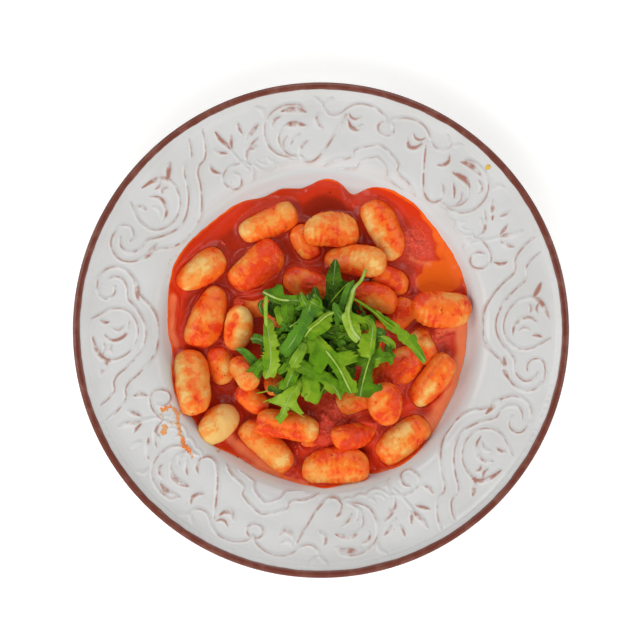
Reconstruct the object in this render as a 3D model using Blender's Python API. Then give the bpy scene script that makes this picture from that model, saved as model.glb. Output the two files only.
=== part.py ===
"""A deep rimmed plate of potato gnocchi in tomato sauce, topped with a heap of rocket leaves.

The plate is turned about the Z axis. The gnocchi are laid out by hand in plan and then each is let
down until it rests on the plate or on the gnocchi under it. The sauce fills the well up to its
level and is cut round every gnocco that stands in it, and the heap of leaves lies on top.
Sizes are in metres, except in the layout of the gnocchi, which is in millimetres and degrees.
The origin is the middle of the plate's foot, where it stands.
"""

import math
import random

import bmesh
import bpy
from mathutils import Matrix, Vector
from mathutils.bvhtree import BVHTree

MM = 0.001
SEGMENTS = 40          # round the plate and the sauce
GAP = 0.0004           # between pieces that touch
FAR = 0.2              # well above everything, where rays start

# ---- the plate: outline of one half, as radius and height ----
FOOT_IN = 0.062        # the ring that it stands on
FOOT_OUT = 0.067
FOOT_HEIGHT = 0.0028
FLOOR_Z = 0.0060       # upper face of the well's floor
RIM_RADIUS = 0.1350
RIM_Z = 0.0370

INNER_FACE = [         # the well and the rim, from the axis outwards
    (0.0000, FLOOR_Z),
    (0.0700, FLOOR_Z),
    (0.0775, 0.0074),
    (0.0820, 0.0102),
    (0.0852, 0.0145),
    (0.0874, 0.0205),
    (0.0892, 0.0252),
    (0.0918, 0.0279),
    (0.0960, 0.0290),
    (0.1300, 0.0356),
    (0.1330, RIM_Z),
]
OUTER_FACE = [         # back along the edge and the underside to the foot
    (RIM_RADIUS, 0.0360),
    (0.1295, 0.0314),
    (0.0945, 0.0243),
    (0.0910, 0.0200),
    (0.0870, 0.0095),
    (0.0800, 0.0040),
    (FOOT_OUT + 0.0010, FOOT_HEIGHT),
    (FOOT_OUT, 0.0),
    (FOOT_IN, 0.0),
    (FOOT_IN - 0.0015, FOOT_HEIGHT - 0.0006),
    (0.0000, FOOT_HEIGHT - 0.0006),
]

# ---- the sauce ----
SAUCE_LEVEL = 0.0126
SAUCE_EDGE = 0.0011    # thickness of the sauce where it ends on the plate
SHORE = 0.0848         # how far the sauce reaches, apart from its bulges and hollows
SHORE_SWELLS = [       # a bulge or a hollow: direction and half width in degrees, and how far out
    (57, 12, 0.0014), (77, 6, -0.0060), (107, 11, -0.0032), (153, 14, 0.0014), (268, 12, 0.0010),
    (345, 20, -0.0042),
]

# ---- the gnocchi ----
ROUND = 10             # faces round one gnocco
RINGS = 7              # bands along it
TO_ENDS = 0.65         # under 1 crowds the bands to the ends
BLUNT = 2.8            # 2 is an ellipsoid, more is a barrel with blunt ends
FLATTER = 0.88         # height of a gnocco for its width
UNDER_GNOCCO = 0.0017  # the film of sauce between it and the plate
BEND = 0.07            # how far a gnocco bows in plan, as a share of its length
STEEPEST = 0.45        # rise over run of the steepest lean
LEANS = 31             # leans that are tried
LEAN_COST = 0.002      # how much lower a lean has to bring a gnocco to be worth it
NUDGE_COST = 0.8       # the same for a shift, as fall over shift
NUDGES = [Vector((0.0, 0.0))] + [
    Vector((reach * math.cos(k * math.pi / 4), reach * math.sin(k * math.pi / 4)))
    for reach in (0.0012, 0.0024, 0.0036, 0.0048)
    for k in range(8)
]
NEAR = 0.045           # gnocchi further apart than this can't touch

LAYOUT = [             # name, x, y, turn, length, width: those that lie lowest come first
    ("north_west", -29.4, 62.0, 23, 34.0, 18.0),
    ("west_high", -65.8, 34.4, 36, 32.0, 19.5),
    ("north_crossing", -9.6, 47.8, -60, 24.0, 16.0),
    ("north_east", 34.0, 55.4, -64, 35.5, 18.5),
    ("west_big", -36.2, 37.4, 40, 34.0, 22.0),
    ("west_upright", -64.2, 7.4, 70, 36.0, 21.5),
    ("sunk_west", -36.5, 18.2, 4, 24.0, 14.0),
    ("sunk_north", -8.0, 28.2, -22, 28.0, 17.5),
    ("east_small", 39.4, 28.4, -24, 24.0, 16.0),
    ("east_round", 43.6, 8.0, 55, 19.5, 15.5),
    ("east_edge", 66.4, 11.4, -3, 34.0, 20.5),
    ("east_stub", 56.6, -5.4, -62, 22.0, 15.0),
    ("pulp_covered", 43.8, -20.0, 36, 28.0, 18.0),
    ("hidden_north", 6.0, 8.0, 30, 28.0, 17.0),
    ("hidden_west", -19.0, -2.0, -60, 28.0, 17.0),
    ("hidden_south", 1.8, -17.6, 5, 28.0, 17.0),
    ("hidden_east", 26.4, -6.4, 75, 26.0, 16.0),
    ("west_coated", -55.0, -19.0, 106, 23.0, 15.0),
    ("pale_round", -56.6, -53.0, 45, 29.0, 20.0),
    ("west_tall", -70.2, -28.4, 97, 36.0, 19.5),
    ("south_dark", -39.6, -39.6, -40, 21.0, 14.0),
    ("south_inner", -24.2, -31.2, 20, 23.0, 14.0),
    ("south_west_low", -31.2, -65.4, -43, 36.0, 17.0),
    ("south_hidden", -1.4, -61.4, 14, 22.0, 13.5),
    ("south_edge", 8.2, -75.4, 3, 37.0, 19.5),
    ("south_east_edge", 45.6, -61.0, 38, 36.5, 21.0),
    ("east_long", 62.4, -27.4, 52, 36.0, 18.5),
    ("centre_south", 16.4, -38.6, 20, 24.0, 16.0),
    ("south_east_inner", 35.0, -41.0, -78, 26.0, 17.0),
    ("south_red", 20.0, -57.2, 9, 27.0, 14.5),
    ("creased", -46.2, 0.8, 78, 27.0, 16.0),
    ("north_ridged", 5.6, 58.5, 3, 32.0, 19.0),
    ("north_inner", 17.8, 38.4, -8, 33.5, 18.0),
    ("east_inner", 29.8, 17.4, -16, 26.0, 16.0),
    ("south_crossing", -18.4, -53.0, -10, 35.0, 17.5),
    ("west_inner", -41.4, -24.4, -55, 23.0, 14.5),
]

# ---- the heap of rocket leaves ----
HEAP_AT = Vector((0.004, -0.008, 0.0))
HEAP_SEGMENTS = 36
HEAP_RINGS = 4         # from the middle out, above and below
HEAP_HEIGHT = 0.018    # of the middle above its underside
HEAP_EDGE = 0.0026     # thickness where a leaf runs out
HEAP_CLEAR = 0.0007
HEAP_REACH = 0.0100    # how far round a point the underside looks for gnocchi
HEAP_HALF_X = 0.034
HEAP_HALF_Y = 0.029
LEAF_TIPS = [          # the leaves that stick out: direction in degrees, reach, half width in degrees
    (63, 0.044, 7), (86, 0.045, 8), (140, 0.044, 10), (183, 0.047, 8), (204, 0.046, 9),
    (236, 0.051, 9), (306, 0.041, 9), (350, 0.054, 7), (4, 0.044, 9),
]


# ------------------------------------------------------------------ shared

def material(name, colour, roughness):
    """A plain glossy or matt finish in one colour."""
    made = bpy.data.materials.new(name)
    made.use_nodes = True
    shader = made.node_tree.nodes["Principled BSDF"]
    shader.inputs["Base Color"].default_value = (*colour, 1.0)
    shader.inputs["Roughness"].default_value = roughness
    return made


def object_from(bm, name, finish=None):
    """Turns a bmesh into an object of the scene."""
    bmesh.ops.recalc_face_normals(bm, faces=bm.faces[:])
    mesh = bpy.data.meshes.new(name)
    bm.to_mesh(mesh)
    bm.free()
    mesh.shade_smooth()
    obj = bpy.data.objects.new(name, mesh)
    bpy.context.scene.collection.objects.link(obj)
    if finish:
        mesh.materials.append(finish)
    return obj


def grid_solid(bm, rings):
    """Closes rings of points, each the same number round, into a solid. The first and the last ring
    are a single point each."""
    around = len(rings[1])
    made = [[bm.verts.new(point) for point in ring] for ring in rings]
    for k in range(around):
        n = (k + 1) % around
        bm.faces.new((made[0][0], made[1][k], made[1][n]))
        bm.faces.new((made[-1][0], made[-2][n], made[-2][k]))
        for low, high in zip(made[1:-2], made[2:-1]):
            bm.faces.new((low[k], high[k], high[n]))
            bm.faces.new((low[k], high[n], low[n]))


# ------------------------------------------------------------------ plate

def plate_bmesh():
    """The half outline, spun a whole turn about Z."""
    bm = bmesh.new()
    outline = [bm.verts.new((r, 0.0, z)) for r, z in INNER_FACE + OUTER_FACE]
    edges = [bm.edges.new(pair) for pair in zip(outline, outline[1:])]
    bmesh.ops.spin(
        bm, geom=outline + edges, cent=(0, 0, 0), axis=(0, 0, 1),
        angle=math.tau, steps=SEGMENTS, use_merge=True,
    )
    bmesh.ops.remove_doubles(bm, verts=bm.verts[:], dist=1e-6)
    bmesh.ops.recalc_face_normals(bm, faces=bm.faces[:])
    return bm


def above_dish(radius, height):
    """The point that lies this far off the plate's inner face, square to it, as radius and height."""
    for (r0, z0), (r1, z1) in zip(INNER_FACE, INNER_FACE[1:]):
        if radius <= r1:
            break
    run = math.hypot(r1 - r0, z1 - z0)
    sine, cosine = (z1 - z0) / run, (r1 - r0) / run
    z = z0 + (z1 - z0) * (radius - r0) / (r1 - r0)
    return radius - height * sine, z + height * cosine


# ------------------------------------------------------------------ gnocchi

def gnocco_bmesh(length, width, chance):
    """A barrel with blunt ends along X, a little flat below, bowed, and fatter at one end."""
    bm = bmesh.new()
    bmesh.ops.create_uvsphere(bm, u_segments=ROUND, v_segments=RINGS, radius=1.0)
    bmesh.ops.rotate(bm, verts=bm.verts, matrix=Matrix.Rotation(math.pi / 2, 3, "Y"))
    bow = chance.uniform(-BEND, BEND)
    taper = chance.uniform(-0.09, 0.09)
    for vert in bm.verts:
        along, side, up = vert.co
        round_part = math.hypot(side, up)
        along = math.copysign(abs(along) ** TO_ENDS, along)
        full = max(0.0, 1.0 - abs(along) ** BLUNT) ** (1.0 / BLUNT)
        swell = full / round_part if round_part > 1e-6 else 0.0
        swell *= 1.0 + taper * along
        low = 0.86 if up < 0 else 1.0
        vert.co = (
            along * length / 2,
            side * swell * width / 2 + bow * length * (along * along - 0.4),
            up * swell * low * width * FLATTER / 2,
        )
    return bm


def free_heights(bm, below):
    """How far the shape could fall at each place before it meets one of the shapes below: pairs of
    the place in plan and the free height there."""
    found = []
    for vert in bm.verts:
        for tree, _ in below:
            spot, _, _, fall = tree.ray_cast(vert.co, Vector((0, 0, -1)))
            if spot is not None:
                found.append((vert.co.xy, fall))
    own = BVHTree.FromBMesh(bm)
    for _, other in below:
        for vert in other.verts:
            spot, _, _, fall = own.ray_cast(vert.co, Vector((0, 0, 1)))
            if spot is not None:
                found.append((spot.xy, fall))
    return found


def falls(bm, plate, near):
    """The free heights above the plate, where a film of sauce stays, and above other gnocchi."""
    wall = [(spot, fall - UNDER_GNOCCO) for spot, fall in free_heights(bm, [plate])]
    rest = [(spot, fall - 2 * GAP) for spot, fall in free_heights(bm, near)]
    return wall + rest


def settle(bm, place, axis, plate, placed):
    """Nudges the shape a little in plan, leans it along its length so that its middle gets as low
    as it can, and lowers it until it touches. It returns the place where it came to rest."""
    near = [(tree, other) for tree, other, at in placed if (at - place).length < NEAR]
    leans = [STEEPEST * (2 * k / (LEANS - 1) - 1) for k in range(LEANS)]
    best = None
    for nudge in NUDGES:
        bmesh.ops.translate(bm, verts=bm.verts, vec=(*nudge, 0))
        middle = place + nudge
        spots = [((spot - middle) @ axis, fall) for spot, fall in falls(bm, plate, near)]
        for lean in leans:
            fall = min(free + lean * along for along, free in spots)
            score = fall - NUDGE_COST * nudge.length - LEAN_COST * abs(lean)
            if best is None or score > best[0]:
                best = (score, nudge, lean)
        bmesh.ops.translate(bm, verts=bm.verts, vec=(*-nudge, 0))
    _, nudge, lean = best
    bmesh.ops.translate(bm, verts=bm.verts, vec=(*nudge, 0))
    turn = Matrix.Rotation(math.atan(lean), 3, Vector((axis.y, -axis.x, 0.0)))
    bmesh.ops.rotate(bm, verts=bm.verts, cent=Vector((*(place + nudge), FAR)), matrix=turn)
    fall = min(fall for _, fall in falls(bm, plate, near))
    bmesh.ops.translate(bm, verts=bm.verts, vec=(0, 0, -fall))
    return place + nudge


def gnocchi_bmeshes(plate_bm):
    """Every gnocco in its place: pairs of its name and its bmesh."""
    plate = (BVHTree.FromBMesh(plate_bm), plate_bm)
    chance = random.Random(5)
    placed, made = [], []
    for name, x, y, turn, length, width in LAYOUT:
        bm = gnocco_bmesh(length * MM, width * MM, chance)
        place = Vector((x * MM, y * MM))
        angle = math.radians(turn)
        bmesh.ops.rotate(bm, verts=bm.verts, matrix=Matrix.Rotation(angle, 3, "Z"))
        bmesh.ops.translate(bm, verts=bm.verts, vec=(*place, FAR))
        rests = settle(bm, place, Vector((math.cos(angle), math.sin(angle))), plate, placed)
        placed.append((BVHTree.FromBMesh(bm), bm, rests))
        made.append((name, bm))
    return made


def grown(bm, by):
    """A copy of the shape with its skin pushed out this far."""
    bigger = bm.copy()
    bmesh.ops.recalc_face_normals(bigger, faces=bigger.faces[:])
    bigger.normal_update()
    for vert, way in [(v, v.normal.copy()) for v in bigger.verts]:
        vert.co += way * by
    return bigger


# ------------------------------------------------------------------ sauce

def shore(angle):
    """How far the sauce reaches in a direction in radians."""
    reach = SHORE
    for way, wide, out in SHORE_SWELLS:
        turned = (math.degrees(angle) - way + 180) % 360 - 180
        reach += out * math.exp(-(turned / wide) ** 2)
    return reach


def sauce_bmesh():
    """A pool that follows the plate below, is level on top, and thins to its shore."""
    angles = [math.tau * k / SEGMENTS for k in range(SEGMENTS)]
    rings = [[Vector((0, 0, FLOOR_Z + GAP))]]
    for share in (0.50, 0.84, 0.92, 0.97, 1.0):
        points = []
        for angle in angles:
            r, z = above_dish(shore(angle) * share, GAP)
            points.append(Vector((r * math.cos(angle), r * math.sin(angle), z)))
        rings.append(points)
    for share, rise in ((1.0, 0.0), (0.96, 0.6), (0.88, 1.0)):
        points = []
        for angle in angles:
            edge_r, edge_z = above_dish(shore(angle), GAP + SAUCE_EDGE)
            r = edge_r - shore(angle) * (1.0 - share)
            z = edge_z + (SAUCE_LEVEL - edge_z) * rise
            points.append(Vector((r * math.cos(angle), r * math.sin(angle), z)))
        rings.append(points)
    rings.append([Vector((0, 0, SAUCE_LEVEL))])
    bm = bmesh.new()
    grid_solid(bm, rings)
    return bm


def cut_by(obj, cutters):
    """Takes each cutter away from the object, one Boolean after another."""
    for cutter in cutters:
        cut = obj.modifiers.new("cut_" + cutter.name, "BOOLEAN")
        cut.operation = "DIFFERENCE"
        cut.solver = "EXACT"
        cut.object = cutter


# ------------------------------------------------------------------ rocket heap

def heap_reach(angle):
    """The heap's uneven outline: an oval with the leaves that stick out of it."""
    oval = 1.0 / math.hypot(math.cos(angle) / HEAP_HALF_X, math.sin(angle) / HEAP_HALF_Y)
    reach = oval
    for tip, out, half_width in LEAF_TIPS:
        away = (math.degrees(angle) - tip + 180) % 360 - 180
        reach = max(reach, oval + (out - oval) * math.exp(-(away / half_width) ** 2))
    return reach


def support_height(x, y, gnocchi):
    """The highest point of the gnocchi near a point, or of the sauce where there are none."""
    highest = SAUCE_LEVEL
    for _, bm in gnocchi:
        for vert in bm.verts:
            if math.hypot(vert.co.x - x, vert.co.y - y) < HEAP_REACH:
                highest = max(highest, vert.co.z)
    return highest + HEAP_CLEAR


def heap_bmesh(gnocchi):
    """A low uneven mound whose underside is draped over the gnocchi."""
    angles = [math.tau * k / HEAP_SEGMENTS for k in range(HEAP_SEGMENTS)]

    def ring(share, rise):
        """Points at this share of the outline, at this share of the height above the underside."""
        points = []
        for angle in angles:
            r = heap_reach(angle) * share
            x = HEAP_AT.x + r * math.cos(angle)
            y = HEAP_AT.y + r * math.sin(angle)
            lumps = 1.0 + 0.16 * math.sin(5 * angle + 9 * share) + 0.10 * math.cos(3 * angle - 4 * share)
            z = support_height(x, y, gnocchi) + rise * lumps
            points.append(Vector((x, y, z)))
        return points

    middle = support_height(HEAP_AT.x, HEAP_AT.y, gnocchi)
    rings = [[Vector((HEAP_AT.x, HEAP_AT.y, middle))]]
    for k in range(1, HEAP_RINGS + 1):
        rings.append(ring(k / HEAP_RINGS, 0.0))
    for k in range(HEAP_RINGS):
        share = 1.0 - k / HEAP_RINGS
        rise = HEAP_EDGE + HEAP_HEIGHT * (1.0 - share * share) ** 0.8
        rings.append(ring(share * 0.985, rise))
    rings.append([Vector((HEAP_AT.x, HEAP_AT.y, middle + HEAP_EDGE + HEAP_HEIGHT))])
    bm = bmesh.new()
    grid_solid(bm, rings)
    return bm


# ------------------------------------------------------------------ the dish

def main():
    for obj in list(bpy.data.objects):
        bpy.data.objects.remove(obj)
    glaze = material("white_glaze", (0.78, 0.78, 0.76), 0.2)
    tomato = material("tomato_sauce", (0.62, 0.05, 0.02), 0.25)
    potato = material("potato_dough", (0.86, 0.50, 0.16), 0.45)
    rocket = material("rocket_leaf", (0.10, 0.26, 0.03), 0.5)

    plate_bm = plate_bmesh()
    gnocchi = gnocchi_bmeshes(plate_bm)
    heap_bm = heap_bmesh(gnocchi)
    sauce = object_from(sauce_bmesh(), "sauce", tomato)
    cutters = []
    for name, bm in gnocchi:
        if min(vert.co.z for vert in bm.verts) < SAUCE_LEVEL + GAP:
            cutter = object_from(grown(bm, 2 * GAP), "room_for_" + name)
            cutter.hide_render = True
            cutter.display_type = "WIRE"
            cutters.append(cutter)
    cut_by(sauce, cutters)
    for name, bm in gnocchi:
        object_from(bm, "gnocco_" + name, potato)
    object_from(heap_bm, "rocket_heap", rocket)
    object_from(plate_bm, "plate", glaze)


main()
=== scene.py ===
"""The looks of a plate of potato gnocchi in tomato sauce under a heap of rocket leaves.

The sections follow the dish as it is put together: the plate, the sauce, the gnocchi, the pulp with
the specks of herb and the splashes, the rocket, and last the table, the light and the camera. Sizes
are in metres unless a name ends in mm or a comment says so.
"""

import math
import random

import bmesh
import bpy
import numpy as np
from mathutils import Matrix, Vector, noise
from mathutils.bvhtree import BVHTree


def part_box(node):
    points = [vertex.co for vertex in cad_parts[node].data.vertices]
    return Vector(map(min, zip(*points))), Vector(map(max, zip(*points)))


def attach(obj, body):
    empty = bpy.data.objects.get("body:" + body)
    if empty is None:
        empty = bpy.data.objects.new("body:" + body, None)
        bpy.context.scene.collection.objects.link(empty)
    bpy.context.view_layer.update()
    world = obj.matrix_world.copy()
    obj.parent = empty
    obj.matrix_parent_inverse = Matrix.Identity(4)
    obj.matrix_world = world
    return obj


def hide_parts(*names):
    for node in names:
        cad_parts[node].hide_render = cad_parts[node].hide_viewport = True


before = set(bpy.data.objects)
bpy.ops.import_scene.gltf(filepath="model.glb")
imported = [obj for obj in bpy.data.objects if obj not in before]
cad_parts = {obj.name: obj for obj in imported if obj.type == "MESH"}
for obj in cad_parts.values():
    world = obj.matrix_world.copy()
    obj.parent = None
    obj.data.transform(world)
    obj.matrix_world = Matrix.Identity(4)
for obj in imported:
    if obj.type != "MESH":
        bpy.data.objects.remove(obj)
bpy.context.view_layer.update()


# ==================================================================== the plate
# A deep rimmed plate of pressed stoneware, 27 cm across, that stands on a turned foot ring. Scrolls
# and leaves stand out of its rim, and the white glaze breaks to brown clay on their crests and is
# left off the outer edge, which is painted brown.

MM = 0.001
PLATE_STEPS = 296
RIM_RINGS = 16
RIM_CUTS = 3               # each face of the rim is cut into (this + 1) squared
RELIEF_INNER = 0.0890      # the rim's relief lies between these radii
RELIEF_OUTER = 0.1300
RELIEF_AXIS = 72.0         # degrees: the scrolls mirror about this direction and across it
RIDGE_REACH_MM = 3.0       # a stroke does nothing further away than this
RELIEF_GAIN = 1.5          # the strokes' heights are multiplied by this
GROOVE_MM = 0.22           # how deep the face is pressed in beside a stroke
BEADS_MM = 0.30            # the height of the uneven ring of beads at the edge, and its radius
BEADS_RADIUS_MM = 129.2
SAMPLES_PER_SPAN = 8

_, plate_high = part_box("plate")
PLATE_RADIUS = plate_high.x
PLATE_HEIGHT = plate_high.z

# Half of the plate's section from the middle of the well out, over the edge and back underneath:
# radius and height in mm, and the number of bands to the next point.
PLATE_SECTION = [
    (0.0, 6.0, 2), (62.0, 6.0, 2), (70.0, 6.5, 3), (76.0, 8.0, 3), (81.0, 11.4, 2), (83.6, 15.0, 3),
    (85.2, 18.8, 3), (86.4, 21.9, 3), (87.6, 24.6, 3), (89.0, 26.8, 1), (90.4, 28.0, RIM_RINGS // 2),
    (110.0, 31.3, RIM_RINGS // 2), (130.0, 35.3, 2), (131.4, 36.6, 3), (133.4, 37.0, 3), (135.0, 35.9, 3),
    (134.4, 33.6, 2), (129.5, 31.4, 3), (112.0, 27.5, 3), (98.0, 24.4, 2), (93.4, 22.4, 3),
    (90.4, 18.6, 3), (87.0, 9.0, 2), (80.0, 3.8, 2),
    (68.0, 2.8, 1), (67.2, 0.3, 1), (66.7, 0.0, 1), (62.3, 0.0, 1), (61.8, 0.3, 1), (60.5, 2.2, 2),
    (0.0, 2.2, 0),
]

# One quarter of the rim's relief. Each stroke is its half width and height in mm, how far the glaze
# has broken to clay on it, whether it swells like a leaf, and its points: the angle from the mirror
# axis in degrees and the radius in mm.
RELIEF = [
    # the roof-shaped strap on the mirror axis
    (0.75, 0.55, 0.6, False, [(-1, 106.8), (3, 104.0), (6, 101.2), (7.4, 99.4), (7.7, 96.4), (9.2, 94.7),
                              (12.4, 93.7), (15.0, 92.0), (17.2, 89.8)]),
    (0.75, 0.55, 0.5, False, [(-1, 100.2), (2.6, 97.0), (4.9, 93.9), (5.7, 91.0), (8.2, 89.7), (12.6, 88.8)]),
    # the scroll that arches from it, dips and ends in a bud
    (0.75, 0.60, 0.6, False, [(0.2, 118.0), (0.8, 120.8), (2.8, 123.6), (6.0, 125.4), (9.2, 124.6),
                              (11.2, 122.0), (12.6, 119.2), (14.6, 117.5), (16.4, 118.8),
                              (17.3, 121.6), (17.2, 124.0)]),
    (0.70, 0.50, 0.3, True, [(17.2, 123.0), (16.0, 125.4), (15.0, 126.8)]),
    (0.70, 0.50, 0.3, True, [(17.5, 123.2), (18.6, 125.6), (19.6, 127.2)]),
    (0.80, 0.50, 0.7, True, [(-0.4, 111.6), (1.4, 112.8), (2.2, 115.2), (1.6, 118.2), (0.4, 119.6)]),
    (0.80, 0.50, 0.7, True, [(7.3, 118.6), (8.4, 116.9), (9.8, 117.2), (10.6, 119.4)]),
    (1.05, 0.60, 0.9, True, [(6.6, 114.4), (7.7, 111.4), (9.4, 112.0), (10.6, 115.6)]),
    # the long stem down to the well, and the leaf beside it
    (0.95, 0.65, 0.7, False, [(11.3, 118.6), (12.2, 114.0), (13.7, 108.0), (15.4, 102.2), (16.9, 98.2),
                              (18.6, 94.9), (20.4, 92.8), (22.4, 92.2), (23.9, 93.5), (24.7, 96.0)]),
    (0.95, 0.55, 0.8, True, [(18.6, 118.4), (19.3, 115.4), (18.8, 112.4), (17.4, 110.2)]),
    # the big scroll with two arms
    (0.85, 0.65, 0.6, False, [(22.6, 119.6), (23.0, 122.4), (25.8, 124.2), (29.0, 123.4), (31.8, 120.2),
                              (33.4, 115.6), (34.1, 110.0), (33.9, 104.6), (32.6, 100.2), (30.2, 97.2),
                              (28.0, 96.0)]),
    (1.20, 0.50, 1.0, True, [(22.0, 119.4), (23.8, 121.0), (26.0, 121.6), (28.2, 121.4)]),
    (0.80, 0.60, 0.6, False, [(22.0, 112.0), (24.8, 113.6), (28.0, 112.6), (30.0, 109.4), (30.6, 105.0),
                              (30.0, 100.8), (28.4, 97.6), (26.0, 95.6)]),
    (1.30, 0.50, 1.0, True, [(22.2, 112.2), (24.2, 113.2), (26.4, 113.8), (28.4, 112.8)]),
    (0.90, 0.50, 0.7, True, [(28.8, 118.6), (30.4, 117.6), (31.2, 115.8), (31.4, 113.6)]),
    (0.80, 0.50, 0.7, True, [(24.2, 108.0), (26.0, 105.4), (27.6, 102.0)]),
    (0.90, 0.50, 0.7, True, [(22.2, 103.4), (24.0, 100.6), (25.0, 96.0)]),
    (0.75, 0.45, 0.2, False, [(24.4, 96.0), (25.6, 94.1), (27.2, 93.6), (28.6, 94.4)]),
    (0.75, 0.45, 0.3, False, [(28.4, 94.6), (30.0, 93.2), (31.8, 93.0), (33.2, 94.2)]),
    (0.75, 0.45, 0.3, False, [(33.0, 94.4), (34.6, 92.6), (36.8, 92.4), (38.8, 94.4), (40.4, 98.4)]),
    (0.65, 0.35, 0.1, False, [(35.4, 99.0), (34.8, 96.8), (33.4, 95.6)]),
    (0.65, 0.35, 0.1, False, [(38.8, 99.0), (37.8, 96.4), (36.0, 95.0)]),
    (0.75, 0.50, 0.5, True, [(28.0, 107.4), (29.4, 104.2), (29.4, 100.8)]),
    (0.80, 0.50, 0.3, True, [(33.0, 120.4), (32.8, 123.6), (34.4, 126.8)]),
    # the spray of leaves between the scrolls
    (1.00, 0.60, 0.9, True, [(35.0, 117.6), (37.0, 114.8), (39.6, 111.2)]),
    (0.80, 0.55, 0.7, True, [(40.0, 122.0), (40.2, 118.6), (39.9, 115.2)]),
    (1.00, 0.65, 0.9, True, [(46.2, 122.6), (46.0, 118.4), (45.2, 113.6), (44.8, 110.4)]),
    (0.85, 0.55, 0.8, True, [(42.8, 117.0), (43.6, 113.8), (44.2, 110.4)]),
    (0.95, 0.55, 0.8, True, [(49.0, 114.6), (47.8, 111.8), (46.2, 109.2)]),
    (0.70, 0.55, 0.2, False, [(44.9, 110.6), (44.4, 106.4), (43.6, 101.4), (42.2, 95.4)]),
    (0.95, 0.55, 0.7, True, [(36.2, 110.4), (38.8, 108.0), (40.8, 104.6), (41.8, 100.4)]),
    (0.75, 0.50, 0.6, True, [(37.4, 107.0), (38.6, 105.8), (39.8, 106.4)]),
    # the small scroll by the well and the leaf on it
    (0.80, 0.55, 0.7, False, [(41.0, 97.6), (42.4, 99.8), (45.0, 101.3), (48.0, 101.6), (50.4, 99.8),
                              (51.5, 96.2), (50.9, 92.4), (49.0, 89.9), (47.0, 90.6), (46.0, 93.4),
                              (46.2, 96.4), (47.4, 98.4)]),
    (0.80, 0.45, 0.4, True, [(40.6, 95.8), (41.4, 92.8), (42.4, 90.0)]),
    (0.95, 0.55, 0.8, True, [(52.2, 108.4), (52.2, 105.0), (51.0, 101.6)]),
    # the double strap that runs from the edge round the oval
    (0.80, 0.65, 0.7, False, [(48.8, 127.0), (49.6, 121.4), (51.0, 115.8), (52.6, 112.6), (54.8, 111.4),
                              (56.2, 109.0), (57.6, 103.8), (59.2, 99.4), (61.4, 95.0), (64.0, 91.6),
                              (67.0, 89.6), (70.6, 88.9), (74.2, 89.2), (77.4, 91.2), (80.0, 94.8),
                              (81.8, 98.8), (83.2, 101.2)]),
    (0.80, 0.65, 0.7, False, [(52.8, 126.6), (53.8, 121.4), (55.4, 117.2), (57.6, 116.4), (58.8, 114.4),
                              (60.6, 108.4), (63.2, 102.0), (66.4, 97.8), (69.4, 95.8), (72.6, 95.8),
                              (76.2, 98.6), (79.4, 103.6), (81.0, 106.8), (83.4, 107.8), (85.6, 110.6),
                              (86.4, 114.8), (85.4, 118.6), (83.4, 120.6)]),
    (0.70, 0.60, 0.7, False, [(82.6, 124.2), (80.6, 122.6), (79.9, 118.8), (80.6, 115.8), (82.2, 114.2),
                              (83.8, 115.0)]),
    (0.80, 0.65, 0.7, False, [(82.4, 124.4), (85.2, 124.4), (87.6, 121.4), (88.9, 116.2), (88.6, 110.6),
                              (87.0, 106.0), (85.2, 102.8), (83.2, 101.4)]),
    (1.20, 0.55, 1.0, True, [(80.8, 101.2), (83.0, 102.2), (85.2, 103.4), (86.8, 105.8)]),
    # the oval and what curls inside it
    (0.80, 0.60, 0.6, False, [(74.4, 125.2), (75.8, 120.6), (77.2, 115.8), (77.8, 110.4), (77.0, 105.2),
                              (74.8, 101.4), (71.4, 99.8), (68.0, 101.2), (65.2, 105.2), (63.8, 110.4),
                              (63.6, 115.6), (64.4, 119.0)]),
    (1.10, 0.60, 0.9, True, [(63.2, 116.0), (64.4, 119.8), (66.6, 122.6), (69.8, 124.6)]),
    (0.90, 0.50, 0.8, True, [(70.4, 118.2), (68.9, 114.2), (69.4, 109.0), (71.6, 105.4), (74.0, 105.0)]),
    (0.70, 0.50, 0.5, True, [(72.2, 113.8), (71.6, 110.6), (72.8, 107.6)]),
    (0.85, 0.50, 0.8, True, [(74.2, 120.6), (73.7, 118.0), (73.8, 115.6)]),
    (0.80, 0.50, 0.7, True, [(65.4, 119.4), (66.6, 118.2), (68.0, 118.6)]),
    (0.80, 0.50, 0.7, True, [(65.4, 114.6), (66.6, 115.4), (67.6, 114.2)]),
    (1.20, 0.60, 0.9, True, [(60.2, 122.8), (61.8, 120.4), (64.0, 116.4)]),
]


def smooth_through(points, samples):
    """A smooth line through the points, as an array. samples is the number of steps between each
    two of them, or a list with the number for each step."""
    p = np.array(points, float)
    chords = np.diff(p, axis=0)
    lengths = np.linalg.norm(chords, axis=1)[:, None]
    way = chords / lengths
    ways = np.vstack([way[:1], way[:-1] * lengths[1:] + way[1:] * lengths[:-1], way[-1:]])
    ways /= np.linalg.norm(ways, axis=1)[:, None]
    counts = [samples] * len(chords) if isinstance(samples, int) else samples
    spans = []
    for k, count in enumerate(counts):
        t = np.linspace(0, 1, count, endpoint=False)[:, None]
        ease = t * t * (3 - 2 * t)
        leave, arrive = t * (1 - t) ** 2, t * t * (1 - t)
        spans.append(p[k] * (1 - ease) + p[k + 1] * ease
                     + lengths[k] * (ways[k] * leave - ways[k + 1] * arrive))
    return np.vstack(spans + [p[-1:]])


def coordinates(mesh):
    """The mesh's vertices as an array."""
    co = np.empty(len(mesh.vertices) * 3, np.float32)
    mesh.vertices.foreach_get("co", co)
    return co.reshape(-1, 3).astype(float)


def give(mesh, name, values):
    """Stores one number at each vertex, for the material to read."""
    attribute = mesh.attributes.new(name, "FLOAT", "POINT")
    attribute.data.foreach_set("value", np.asarray(values, np.float32))


def in_scene(name, data):
    """A new object in the scene."""
    obj = bpy.data.objects.new(name, data)
    bpy.context.scene.collection.objects.link(obj)
    return obj


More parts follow.
